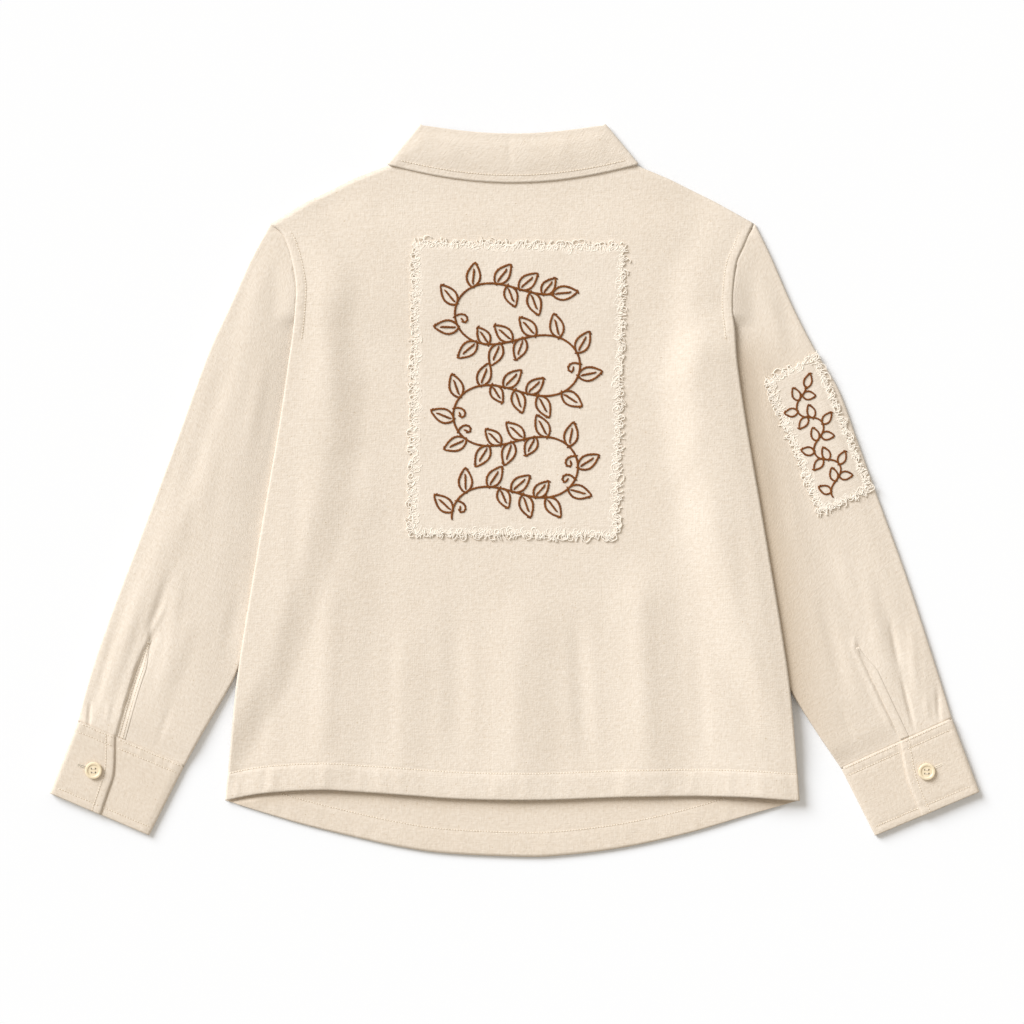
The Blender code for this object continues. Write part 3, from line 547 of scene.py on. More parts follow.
def in_metres(rows):
    """List the points of all rows, turned from millimetres to metres."""
    return [tuple(MM * value for value in point) for row in rows for point in row]


def put_in_scene(name, data):
    """Put a mesh, a light or a camera into the scene as an object."""
    made = bpy.data.objects.new(name, data)
    bpy.context.scene.collection.objects.link(made)
    return made


def cloth(name, rows, weave, finish, wall=SHELL, flip=False):
    """Make a named shell of cloth from rows of points and their places in the weave."""
    wide = len(rows[0])
    points = in_metres(rows)
    places = in_metres(weave)
    faces = []
    for row in range(len(rows) - 1):
        for column in range(wide - 1):
            here = row * wide + column
            corners = (here, here + wide, here + wide + 1, here + 1)
            faces.append(corners[::-1] if flip else corners)
    mesh = bpy.data.meshes.new(name)
    mesh.from_pydata(points, [], faces)
    layer = mesh.uv_layers.new(name="cloth")
    for loop in mesh.loops:
        layer.data[loop.index].uv = places[loop.vertex_index]
    bm = bmesh.new()
    bm.from_mesh(mesh)
    bmesh.ops.remove_doubles(bm, verts=bm.verts, dist=MERGE_WITHIN)
    bm.to_mesh(mesh)
    bm.free()
    mesh.materials.append(finish)
    mesh.shade_smooth()
    piece = put_in_scene(name, mesh)
    solid = piece.modifiers.new("wall", "SOLIDIFY")
    solid.thickness = wall * MM
    solid.offset = -1.0
    solid.use_rim = True
    print(name, "has", len(mesh.polygons), "faces of cloth")
    return piece

# %% Store painted shade on a piece, attach it to the shirt, and space places along a length
def store_painted_shade(piece, share_of):
    """Store on each point a share of painted shade, which the canvas mixes in as a warm tan."""
    hollow = piece.data.attributes.new("hollow", "FLOAT", "POINT")
    for vertex in piece.data.vertices:
        hollow.data[vertex.index].value = share_of(vertex.co.x / MM, vertex.co.y / MM)


def dress(piece, slot, *nodes):
    """Let a piece ride with the shirt and hide the solids it stands for; the slot is not used."""
    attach(piece, "root")
    if nodes:
        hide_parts(*nodes)
    return piece


def places_along(length, coarse, fine, stops, reach):
    """List places from 0 to a length, closer together within reach of the given stops."""
    places = [0.0]
    while places[-1] < length:
        here = places[-1]
        near = min(abs(here - stop) for stop in stops)
        places.append(here + mix(fine, coarse, ease(near / reach)))
    return [place * length / places[-1] for place in places]

# %% [markdown]
# ## A small language for nodes
#
# Materials and Geometry Nodes are both trees of nodes. Their maths is easier to
# read as ordinary expressions, so a small class wraps a value on its way
# through a tree. Everything else comes from one method, which adds any kind of
# node: its settings first, then what its sockets hold.

# %% Values and trees
class Value:
    """A value on its way through a tree of nodes, used in ordinary expressions."""

    def __init__(self, tree, socket):
        self.tree = tree
        self.socket = socket

    def output(self, name):
        """Give another output of the node that this value comes from."""
        return Value(self.tree, self.socket.node.outputs[name])

    def maths(self, operation, *numbers):
        """Add a Math node."""
        return self.tree.node("ShaderNodeMath", {"operation": operation}, dict(enumerate(numbers)))

    def __add__(self, other):
        return self.maths("ADD", self, other)

    def __sub__(self, other):
        return self.maths("SUBTRACT", self, other)

    def __rsub__(self, other):
        return self.maths("SUBTRACT", other, self)

    def __mul__(self, other):
        return self.maths("MULTIPLY", self, other)

    __radd__ = __add__
    __rmul__ = __mul__


class Tree:
    """A tree of nodes under construction."""

    def __init__(self, nodes):
        self.nodes = nodes

    def plug(self, socket, value):
        """Set a socket to a plain value, or link it to a value from another node."""
        if isinstance(value, Value):
            self.nodes.links.new(value.socket, socket)
        else:
            socket.default_value = value

    def node(self, kind, settings=None, sockets=None, output=0):
        """Add any node: its settings first, then what its sockets hold."""
        made = self.nodes.nodes.new(kind)
        for name, value in (settings or {}).items():
            setattr(made, name, value)
        for name, value in (sockets or {}).items():
            self.plug(made.inputs[name], value)
        return Value(self, made.outputs[output] if made.outputs else None)

# %% [markdown]
# ## Finishes
#
# A finish is a material on a Principled BSDF. What varies over the surface goes
# into its colour, its roughness and its bump, and everything else is set on the
# shader itself.

# %% Finishes
class Finish(Tree):
    """One material, built up a node at a time on a Principled BSDF."""

    def __init__(self, name, roughness, specular=0.2, sheen=0.0):
        self.material = bpy.data.materials.new(name)
        self.material.use_nodes = True
        super().__init__(self.material.node_tree)
        self.shader = self.nodes.nodes["Principled BSDF"]
        self.feed("Roughness", roughness)
        self.feed("Specular IOR Level", specular)
        self.feed("Sheen Weight", sheen)
        self.feed("Sheen Roughness", 0.6)

    def feed(self, socket, value):
        """Set or link one socket of the surface."""
        self.plug(self.shader.inputs[socket], value)

    def sine(self, value):
        """Give the sine of a value."""
        return value.maths("SINE", value)

    def blend(self, share, first, second):
        """Mix two colours."""
        return self.node("ShaderNodeMix", {"data_type": "RGBA"}, {0: share, 6: first, 7: second}, 2)

    def bump(self, height, depth):
        """Raise the surface by a height map, the depth being in millimetres."""
        sockets = {"Height": height, "Distance": depth * MM}
        self.feed("Normal", self.node("ShaderNodeBump", {}, sockets, "Normal"))

# %% [markdown]
# ### Canvas
#
# Undyed canvas is a plain weave of uneven yarns. Close up each yarn goes over
# one and under the next, so two sine waves multiplied give the pattern. Some
# yarns are thicker than others, which noise stretched along each direction
# gives, and the cloth takes a little colour variation and a few dark flecks of
# seed. All of this reads the cloth's own UV map, so the weave turns with a sleeve.
# A share stored on each point adds painted shade, a warm tan mixed into the
# colour where a piece lies in shade.

# %% The canvas finish
YARN_PITCH = 0.72
YARN_WANDER = 0.9
CANVAS_RELIEF = 0.36
FLECK_ABOVE = 0.79
FLECK_SHARPNESS = 14.0
FLECK_STRENGTH = 0.55
CLOTH_TO_MM = 1000.0
# Painted shade: the warm tan mixed into the canvas where a piece lies in shade.
PAINTED_SHADE_TONE = (0.56, 0.43, 0.29, 1.0)
FLECK_TONE = (0.55, 0.42, 0.27, 1.0)


def canvas(name, pale, deep):
    """Make woven canvas between two tones."""
    finish = Finish(name, 0.92, 0.12, 0.06)
    uv = finish.node("ShaderNodeUVMap", {"uv_map": "cloth"})

    def grain(wide, tall, detail=3.0):
        """Give noise whose grains are the given size in millimetres."""
        size = (CLOTH_TO_MM / wide, CLOTH_TO_MM / tall, 1.0)
        spot = finish.node("ShaderNodeMapping", {}, {"Vector": uv, "Scale": size})
        sockets = {"Vector": spot, "Scale": 1.0, "Detail": detail}
        return finish.node("ShaderNodeTexNoise", {}, sockets)

    def yarns(place):
        """Give the wave of the yarns that lie across one direction."""
        return finish.sine((place * CLOTH_TO_MM + wander) * turn)

    slubs = grain(9.0, 1.1) + grain(1.1, 9.0)
    mottle = grain(3.2, 3.4, 4.0)
    cloud = grain(60.0, 80.0)
    turn = math.pi / YARN_PITCH
    wander = (mottle - 0.5) * YARN_WANDER
    across = finish.node("ShaderNodeSeparateXYZ", {}, {0: uv})
    weave = yarns(across) * yarns(across.output("Y"))
    seed = (grain(2.6, 2.2, 0.0) - FLECK_ABOVE) * FLECK_SHARPNESS
    flecks = finish.node("ShaderNodeClamp", {}, {0: seed})
    tone = (slubs - 1.0) + (mottle - 0.5) * 1.4 + (cloud - 0.5) * 0.5 + weave * 0.04 + 0.5
    tone = finish.node("ShaderNodeClamp", {}, {0: tone})
    # Painted shade: a stored share per point mixes the colour towards a warm tan where the piece
    # lies in shade.
    hollow = finish.node("ShaderNodeAttribute", {"attribute_name": "hollow"}, {}, "Fac")
    colour = finish.blend(hollow, finish.blend(tone, deep, pale), PAINTED_SHADE_TONE)
    finish.feed("Base Color", finish.blend(flecks * FLECK_STRENGTH, colour, FLECK_TONE))
    finish.bump(weave * 0.2 + slubs * 0.55 + mottle * 0.9, CANVAS_RELIEF)
    return finish.material


body_canvas = canvas("undyed canvas", (0.85, 0.771, 0.675, 1.0), (0.735, 0.640, 0.530, 1.0))
patch_canvas = canvas("raw patch canvas", (0.86, 0.783, 0.688, 1.0), (0.75, 0.658, 0.552, 1.0))
# Painted shade: a darker copy of the canvas for the cuffs and the front's tail, standing for the
# shade they lie in.
painted_shade_canvas = canvas("doubled canvas", (0.822, 0.738, 0.636, 1.0), (0.708, 0.610, 0.498, 1.0))
print("made", body_canvas.name, patch_canvas.name, "and", painted_shade_canvas.name)

# %% [markdown]
# ## The body
#
# The back panel is one broad sheet that lies over the front, the tucked
# sleeves and the collar's neck. What the eye reads on it is soft: a few long
# folds down to the hem, a doubled hem that its stitches draw down, small
# gathers along that hem, and a raised seam round each armhole. Every one of
# these is a height added to the same sheet.

# %% Creases of the back, ridges or, where the height is below zero, troughs
BACK_CREASES = table(FOLD_COLUMNS, [
    (-184.0, -60.0, -192.0, -290.0, 18.0, 0.9),
    (-122.0, -120.0, -126.0, -290.0, 13.0, -0.6),
    (-60.0, -95.0, -57.0, -285.0, 20.0, -1.1),
    (3.0, -150.0, 1.0, -290.0, 14.0, 0.5),
    (60.0, -110.0, 73.0, -285.0, 15.0, -1.3),
    (124.0, -70.0, 134.0, -290.0, 18.0, 0.9),
    (180.0, -110.0, 192.0, -285.0, 13.0, -0.7),
    (236.0, -110.0, 252.0, -290.0, 14.0, 0.6),
    (-246.0, -110.0, -262.0, -290.0, 16.0, -0.6),
    (-112.0, 318.0, -146.0, 262.0, 12.0, -0.6),
    (112.0, 316.0, 146.0, 260.0, 12.0, -0.5),
    (-104.0, 322.0, -214.0, 272.0, 13.0, -1.5),
    (110.0, 320.0, 206.0, 274.0, 13.0, -0.7),
    (-190.0, 268.0, -150.0, 150.0, 26.0, 0.7),
    (186.0, 268.0, 150.0, 140.0, 26.0, 0.6),
    (-214.0, 120.0, -130.0, 10.0, 24.0, 0.5),
    (212.0, 110.0, 140.0, -20.0, 24.0, 0.5),
    (-222.0, 60.0, -214.0, -170.0, 15.0, -0.5),
    (226.0, 60.0, 232.0, -150.0, 15.0, -0.5),
    (-40.0, 296.0, -30.0, 256.0, 14.0, 0.4),
    (52.0, 296.0, 44.0, 256.0, 16.0, -0.4),
])
print(len(BACK_CREASES), "creases on the back")

# %% How a hem, a stitch line, a gather and a seam shape the cloth
HEM_DEEP = 26.3
HEM_RISE = 0.55
STITCH_DIP = 0.4
STITCH_REACH = 1.7
EDGE_ROLL = 0.35
EDGE_ROLL_WIDTH = 2.5
SEAM_BAND = 10.0
SEAM_RISE = 0.6
SEAM_LOW = 148.0
BODY_LOFT = 1.25
BODY_LOFT_RAMP = 46.0
BREATH = 0.3
HEM_LIFT = 0.9
HEM_LIFT_REACH = 45.0
RIGHT_LIFT = 5.4
RIGHT_FALL = 1.2


def stitch_dip(distance):
    """Draw the cloth down at a stitch line, by the distance from it."""
    return -STITCH_DIP * math.exp(-(distance / STITCH_REACH) ** 2)


def hem_height(distance, deep=HEM_DEEP):
    """Raise the doubled cloth of a hem, by the distance from its edge."""
    band = ease((deep + STITCH_REACH - distance) / (2.0 * STITCH_REACH))
    roll = EDGE_ROLL * (1.0 - ease(distance / EDGE_ROLL_WIDTH))
    return HEM_RISE * band + stitch_dip(distance - deep) - roll


def gathers(start, end, seed):
    """Space small gathers unevenly along a hem."""
    chance = random.Random(seed)
    spots = []
    here = start
    while here < end:
        here += chance.uniform(9.0, 21.0)
        half_width = chance.uniform(3.5, 8.0)
        rise = chance.uniform(-0.5, 0.55)
        length = chance.uniform(14.0, 34.0)
        lean = chance.uniform(-0.25, 0.25)
        spots.append((here, half_width, rise, length, lean))
    return spots


def gather_height(spots, along, distance):
    """Add up the gathers that reach a point near a hem."""
    height = 0.0
    for middle, half_width, rise, length, lean in spots:
        off = abs(along - middle - lean * distance) / half_width
        if off < 1.0 and distance < length:
            swell = 0.5 + 0.5 * math.cos(math.pi * off)
            height += rise * swell * ease(distance / 4.0) * ease((length - distance) / 9.0)
    return height


print("a hem stands", round(hem_height(0.5 * HEM_DEEP), 2), "mm above the cloth beside it")


def breath(x, y, seed):
    """Give the faint unevenness that cloth always has."""
    wide = noise.noise(Vector((x / 60.0, y / 80.0, seed)))
    small = noise.noise(Vector((x / 17.0, y / 23.0, seed + 5.0)))
    return BREATH * (wide + 0.45 * small)

# %% The height of the back, with all that is sewn into it
BACK_GATHERS = gathers(-292.0, 286.0, 11)
LIFT_EDGE = 18.0
LIFT_RUN = 84.0
NECK_CALM = 12.0
NECK_CALM_RUN = 50.0
SEAM_TOP = 262.0


def back_hem_y(x):
    """Give the back hem's edge."""
    return read_table(BACK_HEM, "x", "y", x)


def right_side_lift(from_right):
    """Raise the body where its right side lies over the sleeve, and let it fall at its edge."""
    rise = RIGHT_LIFT * (1.0 - ease((from_right - LIFT_EDGE) / LIFT_RUN))
    return rise - RIGHT_FALL * (1.0 - ease(from_right / LIFT_EDGE))


def back_height(x, y):
    """Give the height of the finished back."""
    from_side = min(x - side_x("left", y), side_x("right", y) - x)
    above_hem = y - back_hem_y(x)
    inside = ease(from_side / BODY_LOFT_RAMP)
    loose = fold_height(BACK_CREASES, x, y) + breath(x, y, 1.0) + BODY_LOFT
    height = back_top(x, y) + inside * ease((AIR_TOP + NECK_CALM - y) / NECK_CALM_RUN) * loose
    height += hem_height(above_hem) + gather_height(BACK_GATHERS, x, above_hem)
    seam = ease((SEAM_BAND + STITCH_REACH - from_side) / (2.0 * STITCH_REACH))
    upper = ease((y - SEAM_LOW) / 14.0) * ease((SEAM_TOP - y) / 8.0)
    height += upper * (SEAM_RISE * seam + stitch_dip(from_side - SEAM_BAND))
    height += HEM_LIFT * (1.0 - ease(above_hem / HEM_LIFT_REACH))
    height += right_side_lift(side_x("right", y) - x) * ease((ARMHOLE_LOW + 30.0 - y) / 60.0)
    return height - EDGE_ROLL * (1.0 - ease(from_side / EDGE_ROLL_WIDTH))


print("the finished back is", round(back_height(0.0, 0.0), 2), "mm high in its middle")

# %% Lay the back
BACK_WIDE = 176
body_length = BODY_SIDES[0].y - BODY_SIDES[-1].y
from_hem = places_along(body_length, 3.3, 1.5, [0.0, HEM_DEEP], 9.0)
DOWN_PLACES = [1.0 - place / body_length for place in reversed(from_hem)]


def body_rows(edge, height_of, wide):
    """Divide the body into rows of points down to the back hem."""
    rows = []
    for down in DOWN_PLACES:
        points = [body_point(edge, BODY_COLUMNS * share, down) for share in even_shares(wide)]
        rows.append([(x, y, height_of(x, y)) for x, y in points])
    return rows


def plan_of(rows):
    """Use each point's place in plan as its place in the weave."""
    return [[(x, y) for x, y, _ in row] for row in rows]


rows = body_rows(back_edge, back_height, BACK_WIDE)
back_cloth = cloth("back_cloth", rows, plan_of(rows), body_canvas)
dress(back_cloth, "canvas", "back_panel")

# %% [markdown]
# The front lies face down on the table. Its tail is longer and curved, so it
# shows below the back's hem from its inner side, with its own hem. The cloth is
# built from its outer side, which rests on the table, and its wall grows up.

# %% Lay the front and its tail
FRONT_HEM_DEEP = 24.0
FRONT_WIDE = 150
TAIL_PLACES = 18
# Painted shadow under the back's hem: its strongest share on the tail, and how far it reaches.
HEM_PAINTED_SHADOW = 0.3
HEM_PAINTED_SHADOW_WIDE = 18.0
TAIL_HIDDEN = 7.0
TAIL_CURL_WIDE = 60.0
TAIL_CURL = 1.2
FRONT_CREASES = table(FOLD_COLUMNS, [
    (-150.0, 120.0, -170.0, -250.0, 30.0, 0.5),
    (-40.0, 60.0, -52.0, -300.0, 34.0, 0.45),
    (70.0, 90.0, 84.0, -290.0, 30.0, 0.5),
    (170.0, 100.0, 190.0, -240.0, 26.0, 0.4),
])
FRONT_GATHERS = gathers(-280.0, 276.0, 23)


def front_hem_y(x):
    """Give the front hem's edge."""
    return read_table(FRONT_HEM, "x", "y", x)


def front_height(x, y):
    """Give the height of the finished front's outer side, which lies down."""
    above_hem = y - front_hem_y(x)
    shown = ease((back_hem_y(x) - y) / TAIL_HIDDEN)
    height = front_under(x, y) + 0.4 * fold_height(FRONT_CREASES, x, y)
    band = 0.5 * hem_height(above_hem, FRONT_HEM_DEEP) + 0.5 * EDGE_ROLL
    curl = TAIL_CURL * ease((TAIL_CURL_WIDE - above_hem) / TAIL_CURL_WIDE)
    ripple = 0.55 + gather_height(FRONT_GATHERS, x, above_hem)
    return height + shown * max(band + curl + 0.8 * ripple - 0.3, 0.0)


def hem_painted_shadow(x, y):
    """Give the share of painted shadow that a place on the tail takes under the back's hem."""
    return HEM_PAINTED_SHADOW * (1.0 - ease((back_hem_y(x) - y) / HEM_PAINTED_SHADOW_WIDE))


rows = body_rows(front_edge, front_height, FRONT_WIDE)
last_row = rows[-1]
for share in even_shares(TAIL_PLACES)[1:]:
    tail = [(x, mix(y, front_hem_y(x), share)) for x, y, _ in last_row]
    rows.append([(x, y, front_height(x, y)) for x, y in tail])
# The front takes the darker canvas copy, which is painted shade, and a painted shadow under the
# back's hem.
front_cloth = cloth("front_cloth", rows, plan_of(rows), painted_shade_canvas, flip=True)
store_painted_shade(front_cloth, hem_painted_shadow)
dress(front_cloth, "canvas", "front_panel")

# %% [markdown]
# ## The sleeves
#
# A sleeve is a tube pressed flat: over the top, round the outer fold, back
# below, and round the inner fold, which is tucked under the body. Rings of
# points run from the armhole to the cuff. The cloth's own map goes round the
# ring and down its length, so the weave turns with the sleeve.

# %% Creases of the sleeves
LEFT_SLEEVE_CREASES = table(FOLD_COLUMNS, [
    (-342.0, -72.0, -369.0, -156.0, 7.0, -1.0),
    (-366.0, -140.0, -394.0, -250.0, 6.0, -1.1),
    (-393.0, -116.0, -425.0, -232.0, 7.0, -0.9),
    (-424.0, -205.0, -426.5, -245.0, 3.4, -1.5),
    (-346.0, -108.0, -372.0, -158.0, 5.0, 0.8),
    (-372.0, -90.0, -408.0, -222.0, 11.0, 0.9),
    (-330.0, -60.0, -352.0, -200.0, 10.0, 0.6),
    (-272.0, -88.0, -292.0, -176.0, 12.0, -0.6),
    (-262.0, 210.0, -310.0, 60.0, 15.0, -0.9),
    (-290.0, 120.0, -352.0, -60.0, 13.0, -0.6),
    (-248.0, 150.0, -270.0, 20.0, 12.0, 0.7),
    (-300.0, 60.0, -318.0, -60.0, 14.0, 0.6),
    (-340.0, -205.0, -360.0, -262.0, 6.0, -0.4),
    (-404.0, -205.0, -409.0, -240.0, 4.5, 0.6),
])
RIGHT_SLEEVE_CREASES = table(FOLD_COLUMNS, [
    (373.0, -120.0, 387.0, -188.0, 4.6, -1.4),
    (385.0, -178.0, 402.0, -248.0, 3.6, -1.9),
    (423.0, -190.0, 425.0, -240.0, 3.4, -1.5),
    (396.0, -120.0, 402.0, -215.0, 7.0, 0.8),
    (350.0, -70.0, 372.0, -190.0, 12.0, 0.7),
    (300.0, -90.0, 338.0, -216.0, 11.0, -0.8),
    (318.0, -40.0, 352.0, -150.0, 12.0, 0.7),
    (262.0, 205.0, 284.0, 120.0, 13.0, -0.9),
    (252.0, 60.0, 276.0, -70.0, 14.0, -0.7),
    (246.0, 150.0, 262.0, 40.0, 10.0, 0.6),
    (322.0, -208.0, 344.0, -262.0, 6.0, -0.4),
    (411.0, -200.0, 414.0, -238.0, 4.5, 0.7),
])
SLEEVE_CREASES = {"left": LEFT_SLEEVE_CREASES, "right": RIGHT_SLEEVE_CREASES}
print([len(creases) for creases in SLEEVE_CREASES.values()], "creases on the sleeves")

# %% Where a sleeve meets the armhole
SEAM_STEP = 0.3
SEAM_TUCK = 1.8
SEAM_BLEND = 24.0
SEAM_RUN_OUT = 16.0


def outer_x(side, y):
    """Give the sleeve's outer fold at a height on the shirt."""
    return read_table(OUTER[side], "y", "x", y)


def armhole_match(side, y, past_body):
    """Raise the sleeve to the back's own height where the two are sewn together."""
    if y <= ARMHOLE_LOW:
        return 0.0
    edge_x = side_x(side, y)
    below = SEAM_STEP if past_body > 0.0 else SHELL + SEAM_STEP
    step = back_height(edge_x, y) - below - sleeve_top(side, edge_x + SIGN[side], y)
    return step * (1.0 - ease(past_body / SEAM_BLEND)) * ease((y - ARMHOLE_LOW) / SEAM_RUN_OUT)

# %% Where a sleeve meets its cuff
CUFF_BLEND = 26.0
LOW_END = 0.05
FLAP_END = 1.5
FLAP_BLEND = 4.0


def cuff_frame(cuff, down):
    """Give the cuff's outer and inner edge at a share of the way to its free edge."""
    outer = mix(OUTER[cuff.name][-1], cuff.outer_low, down)
    inner = mix(INNER[cuff.name][-1], cuff.inner_low, down)
    return outer, inner


def flap_share(cuff, down):
    """Give how much of the width the buttoned end covers."""
    return read_table(FLAP[cuff.name], "down", "share", down)


def cuff_match(side, x, y):
    """Give how near the cuff's seam is, and how far the sleeve stands above its solid there."""
    cuff = CUFFS[side]
    outer, inner = cuff_frame(cuff, 0.0)
    length = math.dist(outer, inner)
    along = unit(outer, inner)
    away = (x - outer[0], y - outer[1])
    across = away[0] * along[0] + away[1] * along[1]
    above = abs(away[0] * along[1] - away[1] * along[0])
    on_flap = 1.0 - ease((across - flap_share(cuff, 0.0) * length) / FLAP_BLEND + 0.5)
    return 1.0 - ease(above / CUFF_BLEND), mix(LOW_END, FLAP_END, on_flap)


print("the buttoned end covers", round(flap_share(CUFFS["left"], 0.0), 2), "of the left seam")

# %% The slit above a cuff
SLIT_REACH = 16.0
SLIT_PAST = 12.0
SLIT_STEP = 2.5
SLIT_SLANT = 0.93
SLIT_SHAPES = by_name(table("name lip lip_width drop drop_width", [
    ("left", 1.1, 11.0, 0.9, 9.0),
    ("right", 1.1, 7.0, 0.55, 7.0),
]))


def slit_line(name):
    """Give the line of a sleeve's slit."""
    row = PLACKETS[name]
    places = [(row.x_high, row.y_high), (row.x_bend, row.y_bend), (row.x_low, row.y_low)]
    return path_along(table("x y", places))


SLIT_POINTS = {side: [slit_line(side)(share) for share in even_shares(40)] for side in SIDES}


def slit_height(side, x, y):
    """Raise the cloth towards the upper edge of a slit, and drop it beyond."""
    points = SLIT_POINTS[side]
    top = points[0][1] + SLIT_REACH
    if y < points[-1][1] - SLIT_PAST or y > top:
        return 0.0
    shape = SLIT_SHAPES[side]
    near = min(points, key=lambda point: abs(point[1] - y))
    beside = (x - near[0]) * SLIT_SLANT
    lip = shape.lip * ease(1.0 + beside / shape.lip_width)
    low = -shape.drop * (1.0 - ease((beside - SLIT_STEP) / shape.drop_width))
    return ease((top - y) / SLIT_REACH) * mix(lip, low, ease((beside + 0.5) / SLIT_STEP))


print("the right slit drops", SLIT_SHAPES["right"].drop, "mm beyond its edge")

# %% The height of a finished sleeve
SLEEVE_LOFT = 1.7
SLEEVE_ROUND = 26.0
ARMPIT_RUN = 42.0
SHADED_FALL = 4.6
SHADED_WIDTH = 105.0
SHADED_CURVE = 3.2
SHADED_EDGE = 8.0
SHADED_TOP = ARMHOLE_LOW + 20.0
SHADED_TAIL = 70.0
# Painted shade on the right sleeve beside the raised body, as a share of its lean.
PAINTED_SHADE_SHARE = 0.6


def shade_share(side, x, y):
    """Give how far a place on the right sleeve leans up to the raised side of the body."""
    past_body = x - side_x(side, y)
    if side == "left" or y > SHADED_TOP or past_body < -SHADED_EDGE:
        return 0.0
    away = min(max(past_body / SHADED_WIDTH, 0.0), 1.0)
    share = (1.0 - away) ** SHADED_CURVE * ease((past_body + SHADED_EDGE) / SHADED_EDGE)
    share *= ease((SHADED_TOP - y) / 60.0) * ease(abs(x - outer_x(side, y)) / 14.0)
    return share * ease((y - BODY_SIDES[-1].y + SHADED_TAIL) / SHADED_TAIL)


def sleeve_height(side, x, y):
    """Give the height of a finished sleeve's upper side."""
    past_body = SIGN[side] * (x - side_x(side, y))
    below_body = y < BODY_SIDES[-1].y
    from_outer = abs(x - outer_x(side, y))
    at_fold = ease(from_outer / 9.0)
    shown = 1.0 if below_body else ease((past_body - 1.0) / 9.0)
    crown = SLEEVE_LOFT * ease(from_outer / SLEEVE_ROUND)
    if not below_body:
        crown *= ease(past_body / ARMPIT_RUN)
    loose = fold_height(SLEEVE_CREASES[side], x, y) + breath(x, y, 7.0 if side == "left" else 9.0)
    loose = at_fold * (loose + slit_height(side, x, y))
    near_cuff, end_rise = cuff_match(side, x, y)
    pressed = end_rise * at_fold + min(0.8 * loose, 0.1 * loose)
    rise = shown * mix(crown + loose, pressed, near_cuff)
    fall = SHADED_FALL * shade_share(side, x, y) * (1.0 - near_cuff)
    return sleeve_top(side, x, y) + fall + armhole_match(side, y, past_body) + rise


print("the left sleeve is", round(sleeve_height("left", -300.0, 0.0), 2), "mm high in its middle")

# %% Rings of points round a pressed tube
UPPER_STEPS = 88
UNDER_STEPS = 30
FOLD_STEPS = 8
FOLD_ROOM = 0.5 * SLEEVE_HIGH
FOLD_LOOK = 0.04


def round_fold(centre, out, room, radius, way):
    """Turn round a pressed fold from above to below, or back up where the way is -1."""
    points = []
    for step in range(1, FOLD_STEPS):
        angle = way * math.pi * (0.5 - step / FOLD_STEPS)
        reach = room * math.cos(angle)
        z = radius + radius * math.sin(angle)
        points.append((centre[0] + out[0] * reach, centre[1] + out[1] * reach, z))
    return points


def flat_ring(path, high_of):
    """Run once round a pressed tube: over the top, round one fold, below and round the other."""
    room = FOLD_ROOM / math.dist(path(0.0), path(1.0))
    upper = [path(mix(room, 1.0 - room, share)) for share in even_shares(UPPER_STEPS)]
    under = [path(mix(1.0 - room, room, share)) for share in even_shares(UNDER_STEPS)]
    folds = []
    for end, way in ((1.0, 1.0), (0.0, -1.0)):
        edge = path(end)
        out = unit(path(end - FOLD_LOOK * way), edge)
        centre = path(end - way * room)
        folds.append(round_fold(centre, out, FOLD_ROOM, 0.5 * high_of(*edge), way))
    ring = [(x, y, high_of(x, y)) for x, y in upper] + folds[0]
    ring += [(x, y, 0.0) for x, y in under] + folds[1]
    return ring + ring[:1]


def lengths_round(ring):
    """Measure the way round a ring, from its first point."""
    lengths = [0.0]
    for start, end in zip(ring, ring[1:]):
        lengths.append(lengths[-1] + math.dist(start, end))
    return lengths


print("a ring of the sleeve has", UPPER_STEPS + UNDER_STEPS + 2 * FOLD_STEPS, "points")

# %% Loft both sleeves
SLEEVE_RINGS = 170


def sleeve_paths(side):
    """Give the sleeve's four edges: armhole, cuff seam, outer fold and inner fold."""
    outer = path_along(OUTER[side])
    inner = path_along(INNER[side])
    tuck = SIGN[side] * SEAM_TUCK
    seam = [outer(0.0)]
    seam += [(getattr(row, side) - tuck, row.y) for row in BODY_SIDES[1:] if row.y > ARMHOLE_LOW]
    seam.append((side_x(side, ARMHOLE_LOW) - tuck, ARMHOLE_LOW))
    seam += [*TUCK[side], inner(0.0)]
    armhole = path_along(table("x y", seam))
    return armhole, lambda share: mix(outer(1.0), inner(1.0), share), outer, inner


def lay_sleeve(side):
    """Loft one sleeve through its pressed rings."""
    armhole, cuff_seam, outer, inner = sleeve_paths(side)
    rings = []
    weave = []
    for down in even_shares(SLEEVE_RINGS):
        ring = flat_ring(lambda share: coons(armhole, cuff_seam, outer, inner, share, down),
                         lambda x, y: sleeve_height(side, x, y))
        rings.append(ring)
        far = math.dist(outer(0.0), outer(1.0)) * down
        weave.append([(length, far) for length in lengths_round(ring)])
    piece = cloth("sleeve_%s_cloth" % side, rings, weave, body_canvas, flip=side == "right")
    # Painted shade: a warm tan on the right sleeve where it lies in the raised body's shade.
    store_painted_shade(piece, lambda x, y: PAINTED_SHADE_SHARE * shade_share(side, x, y))
    return dress(piece, "canvas", "sleeve_" + side)


sleeves = {side: lay_sleeve(side) for side in SIDES}

# %% [markdown]
# ## The cuffs
#
# A cuff is a stiff doubled band that wraps round the wrist. Its buttoned end
# lies over the other one, and its edge is rounded towards the hand. The rows of
# points run once round the band, from the covered end to the buttoned one.

# %% The height of a cuff's buttoned end
SEAM_STITCH = 1.5
CUFF_STITCHES = (9.0, 69.0)
FLAP_STITCH = 9.5
FLAP_TOP = CUFF_FLAP_TOP + 0.4
BUTTON_DIP = 0.5
BUTTON_DIP_REACH = 9.0
PUCKER_REACH = 17.0


def cuff_height_of(cuff):
    """Measure the cuff from its seam to its free edge."""
    return math.dist(cuff_frame(cuff, 0.0)[0], cuff_frame(cuff, 1.0)[0])


